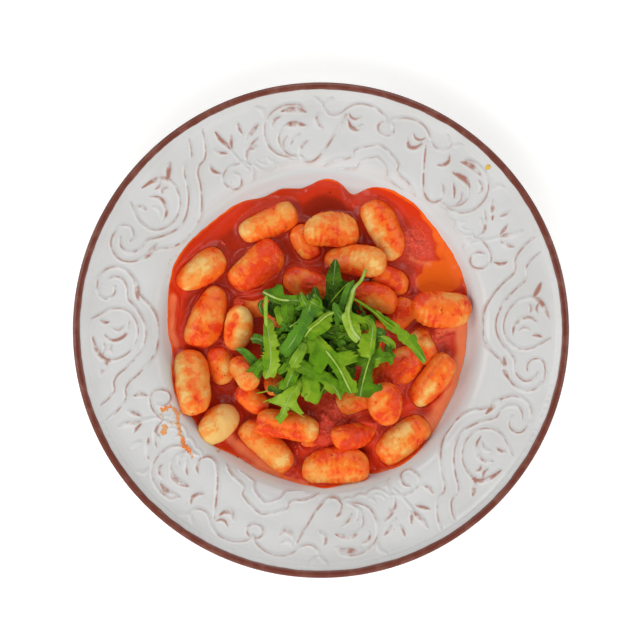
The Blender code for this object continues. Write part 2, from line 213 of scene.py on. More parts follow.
def mesh_from(bm, name):
    """The bmesh as an object in the scene, shaded smooth, with its faces pointing out."""
    bmesh.ops.recalc_face_normals(bm, faces=bm.faces[:])
    mesh = bpy.data.meshes.new(name)
    bm.to_mesh(mesh)
    bm.free()
    mesh.shade_smooth()
    return in_scene(name, mesh)


def relief_at(x, y):
    """The height of the relief and the wear on it, for points of the rim in mm."""
    angle = (np.degrees(np.arctan2(y, x)) - RELIEF_AXIS) % 180
    angle = np.radians(np.minimum(angle, 180 - angle))
    radius = np.hypot(x, y)
    side, out = radius * np.sin(angle), radius * np.cos(angle)
    height, wear, groove = np.zeros(len(x)), np.zeros(len(x)), np.zeros(len(x))
    for half_width, rise, worn, leaf, points in RELIEF:
        turned = [(r * math.sin(math.radians(a)), r * math.cos(math.radians(a))) for a, r in points]
        line = smooth_through(turned, SAMPLES_PER_SPAN)
        low, high = line.min(0) - RIDGE_REACH_MM, line.max(0) + RIDGE_REACH_MM
        near = np.flatnonzero((side > low[0]) & (side < high[0]) & (out > low[1]) & (out < high[1]))
        spot = np.stack([side[near], out[near]], 1)[:, None]
        start, run = line[:-1], np.diff(line, axis=0)
        share = np.clip(((spot - start) * run).sum(2) / (run ** 2).sum(1), 0, 1)
        away = np.linalg.norm(spot - start - share[..., None] * run, axis=2)
        nearest = away.argmin(1)
        rows = np.arange(len(near))
        along = (nearest + share[rows, nearest]) / len(run)
        if leaf:
            width = half_width * (0.40 + 1.25 * np.sin(math.pi * np.clip(along, 0.02, 0.98)) ** 0.8)
        else:
            width = half_width * 1.12 * np.clip(np.minimum(along, 1 - along) * 9 + 0.45, 0, 1)
        swell = np.exp(-(away[rows, nearest] / width) ** 2)
        height[near] = np.maximum(height[near], RELIEF_GAIN * rise * swell)
        wear[near] = np.maximum(wear[near], worn * swell ** 1.5)
        groove[near] = np.maximum(groove[near], np.exp(-(away[rows, nearest] / (width + 0.8)) ** 2))
    height -= GROOVE_MM * groove * (1 - np.clip(height / 0.5, 0, 1))
    beads = np.array([noise.noise(Vector((a * 0.55, b * 0.55, 5.0))) for a, b in zip(x, y)])
    ring = np.exp(-((radius - BEADS_RADIUS_MM) / 0.6) ** 2)
    height += BEADS_MM * ring * np.clip(0.4 + 1.6 * beads, 0, 1)
    return height, wear


plate_bm = bmesh.new()
outline = smooth_through([(r, z) for r, z, _ in PLATE_SECTION], [n for _, _, n in PLATE_SECTION[:-1]])
outline[:, 0] = np.minimum(outline[:, 0], PLATE_RADIUS / MM)
section = [plate_bm.verts.new((r * MM, 0, z * MM)) for r, z in outline]
edges = [plate_bm.edges.new(pair) for pair in zip(section, section[1:])]
bmesh.ops.spin(plate_bm, geom=section + edges, cent=(0, 0, 0), axis=(0, 0, 1),
               angle=math.tau, steps=PLATE_STEPS, use_merge=True)
bmesh.ops.remove_doubles(plate_bm, verts=plate_bm.verts[:], dist=1e-6)


def dish_at(radius):
    """The height of the plate's upper side, in mm."""
    upper = outline[: int(np.argmax(outline[:, 0])) + 1]
    return np.interp(radius, upper[:, 0], upper[:, 1])


def on_rim(x, y, z):
    """Whether a point is on the upper face of the rim, where the relief is."""
    radius = np.hypot(x, y)
    upper = z > 0.0094 + 0.184 * radius
    return upper & (radius > RELIEF_INNER - 1e-5) & (radius < RELIEF_OUTER + 1e-5)


rim_edges = [e for e in plate_bm.edges if all(on_rim(*v.co) for v in e.verts)]
bmesh.ops.subdivide_edges(plate_bm, edges=rim_edges, cuts=RIM_CUTS, use_grid_fill=True)
plate = mesh_from(plate_bm, "stoneware_plate")

co = coordinates(plate.data)
rim = np.flatnonzero(on_rim(*co.T))
height, wear = relief_at(co[rim, 0] * 1000, co[rim, 1] * 1000)
co[rim, 2] += height * MM
plate.data.vertices.foreach_set("co", co.astype(np.float32).ravel())
wear_all = np.zeros(len(co))
wear_all[rim] = wear
give(plate.data, "wear", wear_all)
give(plate.data, "upper", co[:, 2] / MM > dish_at(np.hypot(co[:, 0], co[:, 1]) / MM) - 1.0)

CLAY_BROWN = (0.16, 0.038, 0.024, 1)
WORN_BROWN = (0.40, 0.19, 0.145, 1)
GLAZE_WHITE = (0.68, 0.68, 0.675, 1)
GLAZE_SHADE = (0.63, 0.627, 0.615, 1)
# Painted correction of light: the well's wall is tinted blue-green to take out the red light that the sauce
# throws on it.
WELL_PAINTED_COOL = (0.68, 0.80, 0.82, 1)
BAND_RADIUS = 0.1308       # where the brown of the edge begins


def new_material(name):
    """A material with nodes, its tree and its shader."""
    material = bpy.data.materials.new(name)
    material.use_nodes = True
    tree = material.node_tree
    return material, tree, tree.nodes["Principled BSDF"]


def plug(tree, inputs, links):
    """Gives a node's inputs a value or a socket each."""
    for name, value in links.items():
        if isinstance(value, bpy.types.NodeSocket):
            tree.links.new(value, inputs[name])
        else:
            inputs[name].default_value = value


def node(tree, kind, links=None, **settings):
    """Adds a node. settings are its properties, and links is for its inputs."""
    made = tree.nodes.new(kind)
    for name, value in settings.items():
        setattr(made, name, value)
    plug(tree, made.inputs, links or {})
    return made


def maths(tree, operation, a, b=0.0, c=0.0):
    """One step of arithmetic, as a socket."""
    return node(tree, "ShaderNodeMath", {0: a, 1: b, 2: c}, operation=operation).outputs[0]


def blended(tree, share, a, b, how="MIX"):
    """Colour a turned into colour b by a share."""
    mix = node(tree, "ShaderNodeMix", {0: share, 6: a, 7: b}, data_type="RGBA", blend_type=how)
    return mix.outputs[2]


def ramp_between(tree, value, low, high):
    """0 below low, 1 above high, and smooth between."""
    made = node(tree, "ShaderNodeMapRange", {0: value, 1: low, 2: high}, interpolation_type="SMOOTHSTEP")
    return made.outputs[0]


def clouds(tree, where, scale, detail=2.0, distortion=0.0, roughness=0.5):
    """Noise of this scale, in features per metre, as a socket from 0 to 1."""
    links = {"Vector": where, "Scale": scale, "Detail": detail, "Distortion": distortion,
             "Roughness": roughness}
    return node(tree, "ShaderNodeTexNoise", links).outputs[0]


def read(tree, name):
    """What give() stored on the mesh under this name."""
    return node(tree, "ShaderNodeAttribute", attribute_name=name).outputs["Fac"]


def object_place(tree):
    """Where a point of the piece is, in metres."""
    return node(tree, "ShaderNodeTexCoord").outputs["Object"]


def bumpy(tree, height, strength, distance):
    """A normal that is tilted by a fine relief."""
    links = {"Height": height, "Strength": strength, "Distance": distance}
    return node(tree, "ShaderNodeBump", links).outputs[0]


glaze, tree, shader = new_material("white_glaze_over_clay")
place = object_place(tree)
parts = node(tree, "ShaderNodeSeparateXYZ", {0: place})
flat = node(tree, "ShaderNodeCombineXYZ", {0: parts.outputs[0], 1: parts.outputs[1]}).outputs[0]
out = node(tree, "ShaderNodeVectorMath", {0: flat}, operation="LENGTH").outputs["Value"]
broken = ramp_between(tree, clouds(tree, place, 170, 4.0), 0.36, 0.62)
worn = maths(tree, "MULTIPLY", ramp_between(tree, read(tree, "wear"), 0.12, 0.80), broken)
wavy = maths(tree, "MULTIPLY_ADD", clouds(tree, place, 120, 2.0), 0.0008, out)
band = ramp_between(tree, wavy, BAND_RADIUS + 0.0003, BAND_RADIUS + 0.0008)
shade = blended(tree, ramp_between(tree, clouds(tree, place, 30, 3.0), 0.35, 0.75), GLAZE_WHITE, GLAZE_SHADE)
# Painted correction of light: the upper side of the well's wall takes the blue-green tint against the sauce's
# red bounce light.
well = maths(tree, "SUBTRACT", ramp_between(tree, out, 0.080, 0.083), ramp_between(tree, out, 0.0875, 0.090))
shade = blended(tree, maths(tree, "MULTIPLY", well, read(tree, "upper")), shade, WELL_PAINTED_COOL)
pits = ramp_between(tree, clouds(tree, place, 420, 1.0), 0.80, 0.84)
shade = blended(tree, maths(tree, "MULTIPLY", pits, 0.5), shade, (0.30, 0.26, 0.22, 1))
shade = blended(tree, worn, shade, WORN_BROWN)
# Lighter streaks in the brown edge: partly the band's own streaks and partly painted sheen.
streaks_and_painted_sheen = ramp_between(tree, clouds(tree, place, 150, 3.0), 0.40, 0.80)
edge_colour = blended(tree, maths(tree, "MULTIPLY", streaks_and_painted_sheen, 0.30), CLAY_BROWN, WORN_BROWN)
plug(tree, shader.inputs, {
    "Base Color": blended(tree, band, shade, edge_colour),
    "Roughness": maths(tree, "MULTIPLY_ADD", band, 0.10, 0.16),
    "Normal": bumpy(tree, clouds(tree, place, 90, 2.0), 0.10, 0.0006),
})
plate.data.materials.append(glaze)
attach(plate, "root")
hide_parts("plate")


# ==================================================================== the sauce
# A ladle of tomato sauce that fills the well a few millimetres deep and has run a little way up its
# wall. It is oily and bright where it is thin, dark where it is deep, and grainy with tomato pulp.

SAUCE_STEPS = 620
SAUCE_RINGS = 136          # from the shore in to the middle
SAUCE_UNDER_RINGS = 12
SAUCE_LEVEL_MM = 12.6
SAUCE_GAP_MM = 0.05        # between it and the plate
CLING_MM = 2.8             # how far it rises where it meets a gnocco
CLING_REACH_MM = 2.4
CLIMB_REACH_MM = 4.2       # how far in from the shore it has begun to climb the wall
SHORE_MM = 84.5            # how far it reaches, apart from its bulges and hollows
SHORE_SWELLS = [           # a bulge or a hollow: its direction and half width in degrees, and mm out
    (58, 13, 2.4), (77, 5, -6.2), (98, 6, -4.2), (112, 7, -3.4), (155, 15, 3.8), (188, 5, -1.6),
    (205, 10, 3.0), (225, 7, 2.6), (240, 6, -0.8), (272, 10, 2.4), (286, 4, -1.6), (303, 9, 2.2),
    (328, 6, -0.8), (345, 22, -3.5), (5, 9, -1.2),
]
OIL_POOLS = [              # where orange oil has gathered: x, y and reach in mm
    (64, 31, 11), (72, 36, 10), (57, 27, 7), (70, 44, 8), (66, 23, 7), (60, 23, 6), (71, 26, 8),
    (26, -92, 8), (-24, -82, 5), (80, -14, 4), (79, -26, 4),
]
HEAPS = [                  # where pulp has heaped the sauce up: x, y, reach and height in mm
    (3, -50, 9, 5.4), (2, -60, 7, 4.0), (39, -31, 7, 6.0), (47, -42, 7, 6.0), (25, -50, 6, 6.0),
    (31, -63, 7, 5.0), (56, 44, 8, 2.4), (68, -2, 7, 3.0), (37, 6, 5, 1.5), (-38, 20, 7, 5.0),
    (-6, 35, 7, 2.6), (-48, -8, 5, 2.4), (-44, -38, 6, 2.0), (-22, -42, 7, 3.2), (-27, 29, 6, 4.2),
    (-34, -50, 4, 2.4), (52, -52, 5, 3.0), (52, -8, 4, 2.0), (38, 24, 5, 2.0), (-8, -66, 6, 3.0),
    (48, 18, 4, 1.5),
]
# The gnocchi that lie a little off their outline solids: how far in x and y in mm, and their
# length and width against the solid's.
MOVED = {
    "pale_round": (-3.2, -2.3, 0.94, 0.92), "south_west_low": (0.5, 2.2, 1.0, 0.93),
    "south_crossing": (0, 0.2, 1.0, 0.90), "south_dark": (-1.5, -1.5, 0.95, 0.95),
    "east_long": (-2.8, 1.0, 0.97, 0.90), "south_east_edge": (1.4, -1.3, 0.90, 0.88),
    "south_red": (2.2, -0.8, 1.06, 0.97), "south_edge": (0, 0, 1.0, 1.08),
    "centre_south": (3.4, 0.4, 1.12, 1.12), "south_east_inner": (0.2, 0.0, 0.90, 1.14),
    "north_west": (0.3, -2.4, 1.0, 0.92), "west_high": (-1.2, -0.4, 0.95, 0.90),
    "west_big": (-1.2, -0.4, 0.97, 0.95), "west_upright": (1.3, 3.4, 1.0, 0.90),
    "creased": (0.6, 0.4, 1.0, 1.02), "north_crossing": (0.9, 1.4, 0.86, 0.84),
    "north_ridged": (0, -3.2, 1.0, 1.05), "north_east": (0.9, 0.8, 1.0, 1.0),
    "north_inner": (1.6, 0, 1.09, 0.98), "east_small": (-0.5, -0.6, 0.88, 0.86),
    "pulp_covered": (2.2, 2.0, 1.06, 1.12), "east_round": (1.0, 0.8, 1.0, 1.0),
    "east_inner": (0, 0.4, 1.0, 0.97), "west_tall": (-0.6, 1.6, 1.06, 1.03),
    "west_coated": (-0.4, 2.8, 0.92, 0.98), "west_inner": (-0.6, -2.2, 0.92, 0.92),
}
FOLDS = [                  # where its skin stands up in a fold: reach, height and run, in mm
    (1.3, 1.3, [(74.5, -19.5), (74, -26.5), (71.5, -32), (67.5, -36), (61, -41), (57, -44)]),
    (1.0, 0.7, [(72, -38), (69.5, -39.5), (66.5, -45.5), (62, -50.5)]),
    (1.0, 0.9, [(65, -6.5), (69.5, -3.5), (73.5, -2.5)]),
    (1.0, 0.9, [(-60, 26), (-57, 24), (-48, 20.5)]), (1.0, 0.8, [(-37, 29), (-33, 28), (-24, 26)]),
    (1.1, 0.9, [(-83, 22.5), (-80, 19.5), (-79, 13.5), (-80, 7), (-81, 0)]),
    (1.0, 0.8, [(-82, -1.5), (-78, -4.5), (-75.5, -10)]), (1.0, 0.7, [(-61, 1), (-58, -3), (-54.5, -6)]),
    (1.0, 0.6, [(-58, -29), (-54, -33), (-50, -35.5)]),
    (1.0, 0.8, [(-46.5, -61), (-42, -64.5), (-32.5, -71.5), (-27.5, -77)]),
    (1.0, 0.8, [(-15, -76), (-11.5, -79.5), (-8.5, -83)]),
    (1.1, 0.8, [(50, 52), (52.5, 48), (57, 45), (58, 40)]),
    (1.0, 0.7, [(47, 43), (50, 40.5), (60, 36.5)]), (1.0, 0.7, [(-4, -61), (2, -63.5), (7, -60)]),
    (1.2, 0.9, [(1, -46), (6, -51), (11, -52), (16, -49)]),
]
PULP_BEDS = [              # where tomato pulp lies thick, in the same way as the oil
    (8, -48, 12), (14, -40, 8), (35, -54, 9), (40, -24, 12), (56, 44, 9), (52, 52, 6),
    (60, 38, 7), (6, -56, 9), (-30, 44, 6), (40, -44, 5), (66, -2, 6),
]
DEEP_SPOTS = [             # and where it is deepest and darkest
    (-16, 71, 6), (-2, 70, 8), (10, 68, 6), (20, 49, 5), (-20, 45, 5), (-38, 52, 5),
]
OIL_RUNS = [               # where oil follows the shore: reach in mm, strength, and its run
    (4.4, 0.9, [(72, 42), (69, 48), (65, 53.5)]), (2.8, 0.85, [(66, 52.5), (61.5, 59), (57, 64)]),
    (1.6, 0.7, [(58, 63.5), (51.5, 69.5), (43, 75.5), (34, 79.5)]),
]
PAINTED_SHEEN_RUNS = [                  # painted sheen: where the sauce is painted pale pink for the room's light on its tilted surface, in the same way
    (4.8, 1.0, [(79, 0), (79.5, -10), (78.5, -18), (77, -26), (74, -33), (69.5, -40), (65, -47), (60, -53)]),
    (3.4, 0.7, [(-50, -59.5), (-45.5, -64), (-39, -69.5), (-32, -75.5), (-24, -80)]),
    (2.6, 0.6, [(-82, 18), (-82.5, 8), (-82.5, -1), (-80.5, -8)]), (2.6, 0.6, [(65, -2), (70, 1), (75, 1)]),
    (1.6, 0.6, [(-20, -81), (-14, -83), (-8, -84.5)]), (1.8, 0.5, [(50, 40), (55, 37.5), (60, 37)]),
]
OIL_ORANGE = (0.96, 0.150, 0.012, 1)
FILM_RED = (0.68, 0.040, 0.010, 1)
DEEP_RED = (0.36, 0.024, 0.008, 1)
PULP_RED = (0.90, 0.118, 0.064, 1)
# The pink of the painted sheen.
PAINTED_SHEEN_PINK = (0.98, 0.25, 0.095, 1)


def near_spots(x, y, spots):
    """How much a point in mm is inside the nearest of some round spots, from 0 to 1."""
    most = np.zeros(len(x))
    for at_x, at_y, reach in spots:
        most = np.maximum(most, np.exp(-((x - at_x) ** 2 + (y - at_y) ** 2) / reach ** 2))
    return most


def near_runs(x, y, runs):
    """The same for soft strokes: their reach in mm, their strength and their points."""
    most = np.zeros(len(x))
    for reach, strength, points in runs:
        line = smooth_through(points, 8)
        low, high = line.min(0) - 3 * reach, line.max(0) + 3 * reach
        by = np.flatnonzero((x > low[0]) & (x < high[0]) & (y > low[1]) & (y < high[1]))
        away = np.hypot(x[by, None] - line[:, 0], y[by, None] - line[:, 1]).min(1)
        most[by] = np.maximum(most[by], strength * np.exp(-(away / reach) ** 2))
    return most


def oil_at(x, y):
    """How much of the sauce is plain oil at points in mm, from 0 to 1."""
    edge = 0.16 * rough(np.stack([x, y, 0 * x], 1) * MM, 120, 31)
    return eased(np.maximum(near_spots(x, y, OIL_POOLS), near_runs(x, y, OIL_RUNS)) + edge, 0.16, 0.84)


def rough(points, features_per_metre, seed):
    """Noise from about -1 to 1 at each of the points, which are in metres."""
    shift = Vector((seed * 7.3, seed * -3.1, seed * 5.7))
    return np.array([noise.noise(Vector(p) * features_per_metre + shift) for p in points])


def eased(value, low, high):
    """0 below low, 1 above high, and smooth between."""
    t = np.clip((value - low) / (high - low), 0, 1)
    return t * t * (3 - 2 * t)


def heaped(x, y):
    """How much higher the heaps of pulp make the sauce, in mm."""
    return sum(high * np.exp(-((x - at_x) ** 2 + (y - at_y) ** 2) / reach ** 2)
               for at_x, at_y, reach, high in HEAPS)


def on_circle(angle):
    """Points on a circle of radius 1, where noise closes on itself, for angles in degrees."""
    return np.stack([np.cos(np.radians(angle)), np.sin(np.radians(angle)), 0 * angle], 1)


def shore_at(angle):
    """How far the sauce reaches in a direction in degrees, in mm."""
    reach = SHORE_MM
    for way, wide, out in SHORE_SWELLS:
        turned = (angle - way + 180) % 360 - 180
        reach = reach + out * np.exp(-(turned / wide) ** 2)
    ring = on_circle(angle)
    return reach + 0.35 * rough(ring, 14, 1) + 0.15 * rough(ring, 34, 2)


def merged(solid):
    """An outline solid as a bmesh, its loose triangles joined at their corners."""
    bm = bmesh.new()
    bm.from_mesh(solid.data)
    bmesh.ops.remove_doubles(bm, verts=bm.verts[:], dist=1e-6)
    return bm


def pour(bm, whole):
    """Adds a bmesh to another one and frees it."""
    part = bpy.data.meshes.new("part")
    bm.to_mesh(part)
    bm.free()
    whole.from_mesh(part)
    bpy.data.meshes.remove(part)


def moved(name):
    """What MOVED says of a gnocco's node."""
    return MOVED.get(name.removeprefix("gnocco_"), (0, 0, 1, 1))


dough_bm = bmesh.new()
for name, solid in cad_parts.items():
    if name.startswith("gnocco_"):
        one = merged(solid)
        shift_x, shift_y, _, _ = moved(name)
        bmesh.ops.translate(one, verts=one.verts[:], vec=(shift_x * MM, shift_y * MM, 0))
        pour(one, dough_bm)
dough_skin = BVHTree.FromBMesh(dough_bm)
dough_bm.free()

sauce_bm = bmesh.new()
rows = SAUCE_RINGS + SAUCE_UNDER_RINGS
bmesh.ops.create_grid(sauce_bm, x_segments=SAUCE_STEPS, y_segments=rows, size=1.0)
sauce_bm.verts.ensure_lookup_table()
flat_co = np.array([v.co[:2] for v in sauce_bm.verts])
angle = (flat_co[:, 0] + 1) * 180
row = np.rint((flat_co[:, 1] + 1) / 2 * rows)
on_top = row >= SAUCE_UNDER_RINGS
inward = np.where(on_top, (row - SAUCE_UNDER_RINGS) / SAUCE_RINGS, 1 - row / SAUCE_UNDER_RINGS)
reach = shore_at(np.where(angle > 359.999, 0.0, angle))
radius = reach * (1 - inward ** 1.15)
x, y = radius * np.cos(np.radians(angle)), radius * np.sin(np.radians(angle))
bed = dish_at(radius) + SAUCE_GAP_MM
from_shore = reach - radius
spot = np.stack([x, y, 0 * x], 1) * MM
oil = oil_at(x, y)
pulp = np.clip(near_spots(x, y, PULP_BEDS) * 1.3 * (1 - oil), 0, 1)
film = 0.22 * np.sqrt(np.clip(from_shore / 1.2, 0, 1)) + 0.9 * (1 - np.exp(-from_shore / 3.0))
film *= 1 + 0.25 * rough(spot, 90, 3)
swell = 0.30 * rough(spot, 130, 4) + 0.14 * rough(spot, 420, 5) * (1 - oil)
swell += pulp * (0.6 * rough(spot, 220, 6) + 1.5 * np.abs(rough(spot, 430, 7)))
level = SAUCE_LEVEL_MM + swell * eased(from_shore, 1.0, 6.0) + heaped(x, y)
climb = 1 + 0.45 * rough(on_circle(angle), 5, 8)
climb = np.exp(-from_shore / (CLIMB_REACH_MM * climb))
level += (dish_at(reach) + 0.25 - SAUCE_LEVEL_MM) * climb
level += near_runs(x, y, FOLDS) * eased(from_shore, 0.6, 2.2)
over = np.maximum(level, bed + film)
away = np.array([dough_skin.find_nearest(Vector(p))[3] for p in np.stack([x, y, over], 1) * MM]) / MM
over += CLING_MM * np.exp(-(away / CLING_REACH_MM) ** 1.3) * eased(from_shore, 0.4, 3.0)
z = np.where(on_top & (from_shore > 1e-6), over, bed)
for vert, spot_mm in zip(sauce_bm.verts, np.stack([x, y, z], 1)):
    vert.co = spot_mm * MM
bmesh.ops.remove_doubles(sauce_bm, verts=sauce_bm.verts[:], dist=2e-6)
sauce = mesh_from(sauce_bm, "tomato_sauce")

co = coordinates(sauce.data) * 1000
radius = np.hypot(co[:, 0], co[:, 1])
from_shore = np.maximum(shore_at(np.degrees(np.arctan2(co[:, 1], co[:, 0])) % 360) - radius, 0)
thick = 0.30 * (1 - np.exp(-from_shore / 1.6)) + 0.56 * eased(from_shore, 3.0, 12.5)
thick += 0.24 * near_spots(co[:, 0], co[:, 1], DEEP_SPOTS)
thick -= 0.05 * heaped(co[:, 0], co[:, 1])
oil = oil_at(co[:, 0], co[:, 1])
give(sauce.data, "depth", np.clip(thick * (1 - 1.1 * oil), 0, 1))
give(sauce.data, "pulp", np.clip(near_spots(co[:, 0], co[:, 1], PULP_BEDS) * 1.3 * (1 - oil), 0, 1))
# Painted sheen: pale pink runs along the shores where the tilted sauce would mirror the bright room.
painted_sheen = near_runs(co[:, 0], co[:, 1], PAINTED_SHEEN_RUNS) + 0.20 * rough(co * MM, 150, 21)
give(sauce.data, "painted_sheen", eased(painted_sheen, 0.12, 0.80))

# The tomato film's looks, which the sauce, the gnocchi and the pulp share.
film_group = bpy.data.node_groups.new("tomato_film", "ShaderNodeTree")
for name, kind, way in (
    ("Place", "NodeSocketVector", "INPUT"), ("Depth", "NodeSocketFloat", "INPUT"),
    ("Pulp", "NodeSocketFloat", "INPUT"), ("Colour", "NodeSocketColor", "OUTPUT"),
    ("Roughness", "NodeSocketFloat", "OUTPUT"), ("Height", "NodeSocketFloat", "OUTPUT"),
):
    film_group.interface.new_socket(name, in_out=way, socket_type=kind)
given = node(film_group, "NodeGroupInput").outputs
grain = clouds(film_group, given["Place"], 620, 4.0, 0.9)
drift = clouds(film_group, given["Place"], 140, 3.0, 0.8)
thick = maths(film_group, "MULTIPLY_ADD", drift, 0.24, given["Depth"])
thick = maths(film_group, "SUBTRACT", thick, 0.12)
tint = blended(film_group, ramp_between(film_group, thick, 0.00, 0.18), OIL_ORANGE, FILM_RED)
tint = blended(film_group, ramp_between(film_group, thick, 0.50, 1.00), tint, DEEP_RED)
fleck = ramp_between(film_group, grain, 0.42, 0.66)
pulpy = maths(film_group, "MULTIPLY", given["Pulp"], maths(film_group, "MULTIPLY_ADD", fleck, 0.6, 0.32))
tint = blended(film_group, pulpy, tint, PULP_RED)
rough_film = maths(film_group, "MULTIPLY_ADD", given["Pulp"], 0.12, 0.09)
rough_film = maths(film_group, "MULTIPLY_ADD", drift, 0.06, rough_film)
height = maths(film_group, "MULTIPLY", grain, maths(film_group, "MULTIPLY_ADD", given["Pulp"], 0.85, 0.15))
shown = node(film_group, "NodeGroupOutput").inputs
plug(film_group, shown, {"Colour": tint, "Roughness": rough_film, "Height": height})


def tomato_film(tree, place, depth, pulp):
    """The tomato film in a material: its outputs by name."""
    links = {"Place": place, "Depth": depth, "Pulp": pulp}
    return node(tree, "ShaderNodeGroup", links, node_tree=film_group).outputs


red, tree, shader = new_material("tomato_sauce_wet")
place = object_place(tree)
wet = tomato_film(tree, place, read(tree, "depth"), read(tree, "pulp"))
# Painted sheen: the sauce turns pale pink along those runs.
tint = blended(tree, maths(tree, "MULTIPLY", read(tree, "painted_sheen"), 0.95), wet["Colour"], PAINTED_SHEEN_PINK)
plug(tree, shader.inputs, {
    "Base Color": tint, "Roughness": wet["Roughness"], "Specular IOR Level": 0.30,
    "Normal": bumpy(tree, wet["Height"], 0.5, 0.0008),
})
sauce.data.materials.append(red)
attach(sauce, "root")
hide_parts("sauce")


# ==================================================================== the gnocchi
# Thirty-six small dumplings of potato dough, each rolled by hand, so that no two are alike, and some
# pressed on a fork. The sauce has coated them unevenly: pale dough shows where it ran off.

SMOOTHING = 3              # how often the outline solids' faces are halved
ENDS_IN = 0.07             # how much the ends draw in
RIDGE_STEP_MM = 3.2        # between two tines of the fork
NARROWS = {                # which end is the slimmer one: its direction in degrees, and how much
    "west_upright": (70, 0.16), "west_big": (220, 0.10), "south_crossing": (-10, 0.14),
    "south_red": (9, 0.22), "north_inner": (172, 0.16), "north_east": (-64, 0.12),
    "east_edge": (177, 0.14), "east_long": (232, 0.12), "west_high": (216, 0.06),
    "north_west": (203, 0.10), "creased": (78, 0.10), "south_east_edge": (218, 0.05),
    "south_west_low": (137, 0.08), "pale_round": (45, 0.06), "east_stub": (118, 0.1),
    "west_tall": (97, 0.05), "north_crossing": (-60, 0.08), "south_edge": (183, 0.04),
}
RIDGES = {                 # the height of the fork's ridges in mm, where they are clear
    "north_ridged": 0.36, "east_edge": 0.26, "south_east_edge": 0.16, "north_west": 0.09,
    "south_edge": 0.13, "north_inner": 0.14, "hidden_north": 0.2, "west_big": 0.16, "creased": 0.08,
    "north_east": 0.08, "north_crossing": 0.14, "east_long": 0.06, "centre_south": 0.12,
}
RIDGES_FAINT = 0.03        # and on the others
COAT_IN_GROOVES = 0.13
LUMPS = (                  # their bumps: height in mm, how many per metre, and a number for the seed
    (0.72, 85, 0), (0.30, 230, 40), (0.07, 700, 80),
)
SOLIDS_BLUNT = 2.6         # how blunt the outline solids' ends are
BLUNT = 3.4                # how blunt most of these ends are: the higher, the squarer
FULLEST = 1.22             # and the most that this may widen one
ROUNDER = {                # those whose ends are rounder than that
    "pale_round": 2.1, "west_high": 2.5, "west_upright": 2.5, "north_inner": 2.6, "south_east_inner": 2.2,
    "centre_south": 2.4, "creased": 2.4, "north_east": 2.8, "south_edge": 2.9, "south_red": 2.2,
}
PULPY = {                  # how thick pulp lies on the red parts of some
    "pulp_covered": 1.0, "south_red": 0.7, "east_round": 0.7, "east_inner": 0.5, "sunk_north": 0.6,
    "west_big": 0.5, "south_east_inner": 0.5, "sunk_west": 0.7, "south_hidden": 0.7, "east_stub": 0.5,
    "east_small": 0.4,
}
# Folds and dents in their tops: how deep and how wide in mm, and where they run.
CREASES = {
    "creased": [(1.9, 1.3, [(-46, 8.5), (-48.4, 5), (-49.8, 0), (-51.2, -5)])],
    "north_east": [(0.7, 1.2, [(30, 66), (34, 58), (37.5, 50), (42, 44)])],
    "west_upright": [(0.7, 1.5, [(-66, -7), (-65, -2), (-66, 4)]), (0.5, 1.3, [(-73, 8), (-69, 12)])],
    "west_big": [(0.6, 1.4, [(-47, 36), (-42, 30), (-37, 22)])],
    "west_tall": [(0.7, 1.4, [(-73, -14), (-70, -24), (-71, -36)])],
    "pale_round": [(0.5, 1.6, [(-60, -48), (-55, -52), (-53, -60)])],
    "south_east_edge": [(0.6, 1.4, [(34, -66), (42, -69), (50, -66)])],
    "east_stub": [(0.6, 1.2, [(54, -4), (58, -2), (62, -6)])],
    "south_crossing": [(0.9, 1.4, [(-33, -50), (-26, -52.5), (-18, -54.5), (-11, -55)])],
    "east_long": [(0.6, 1.3, [(57, -28), (61, -22), (66, -16)])],
}
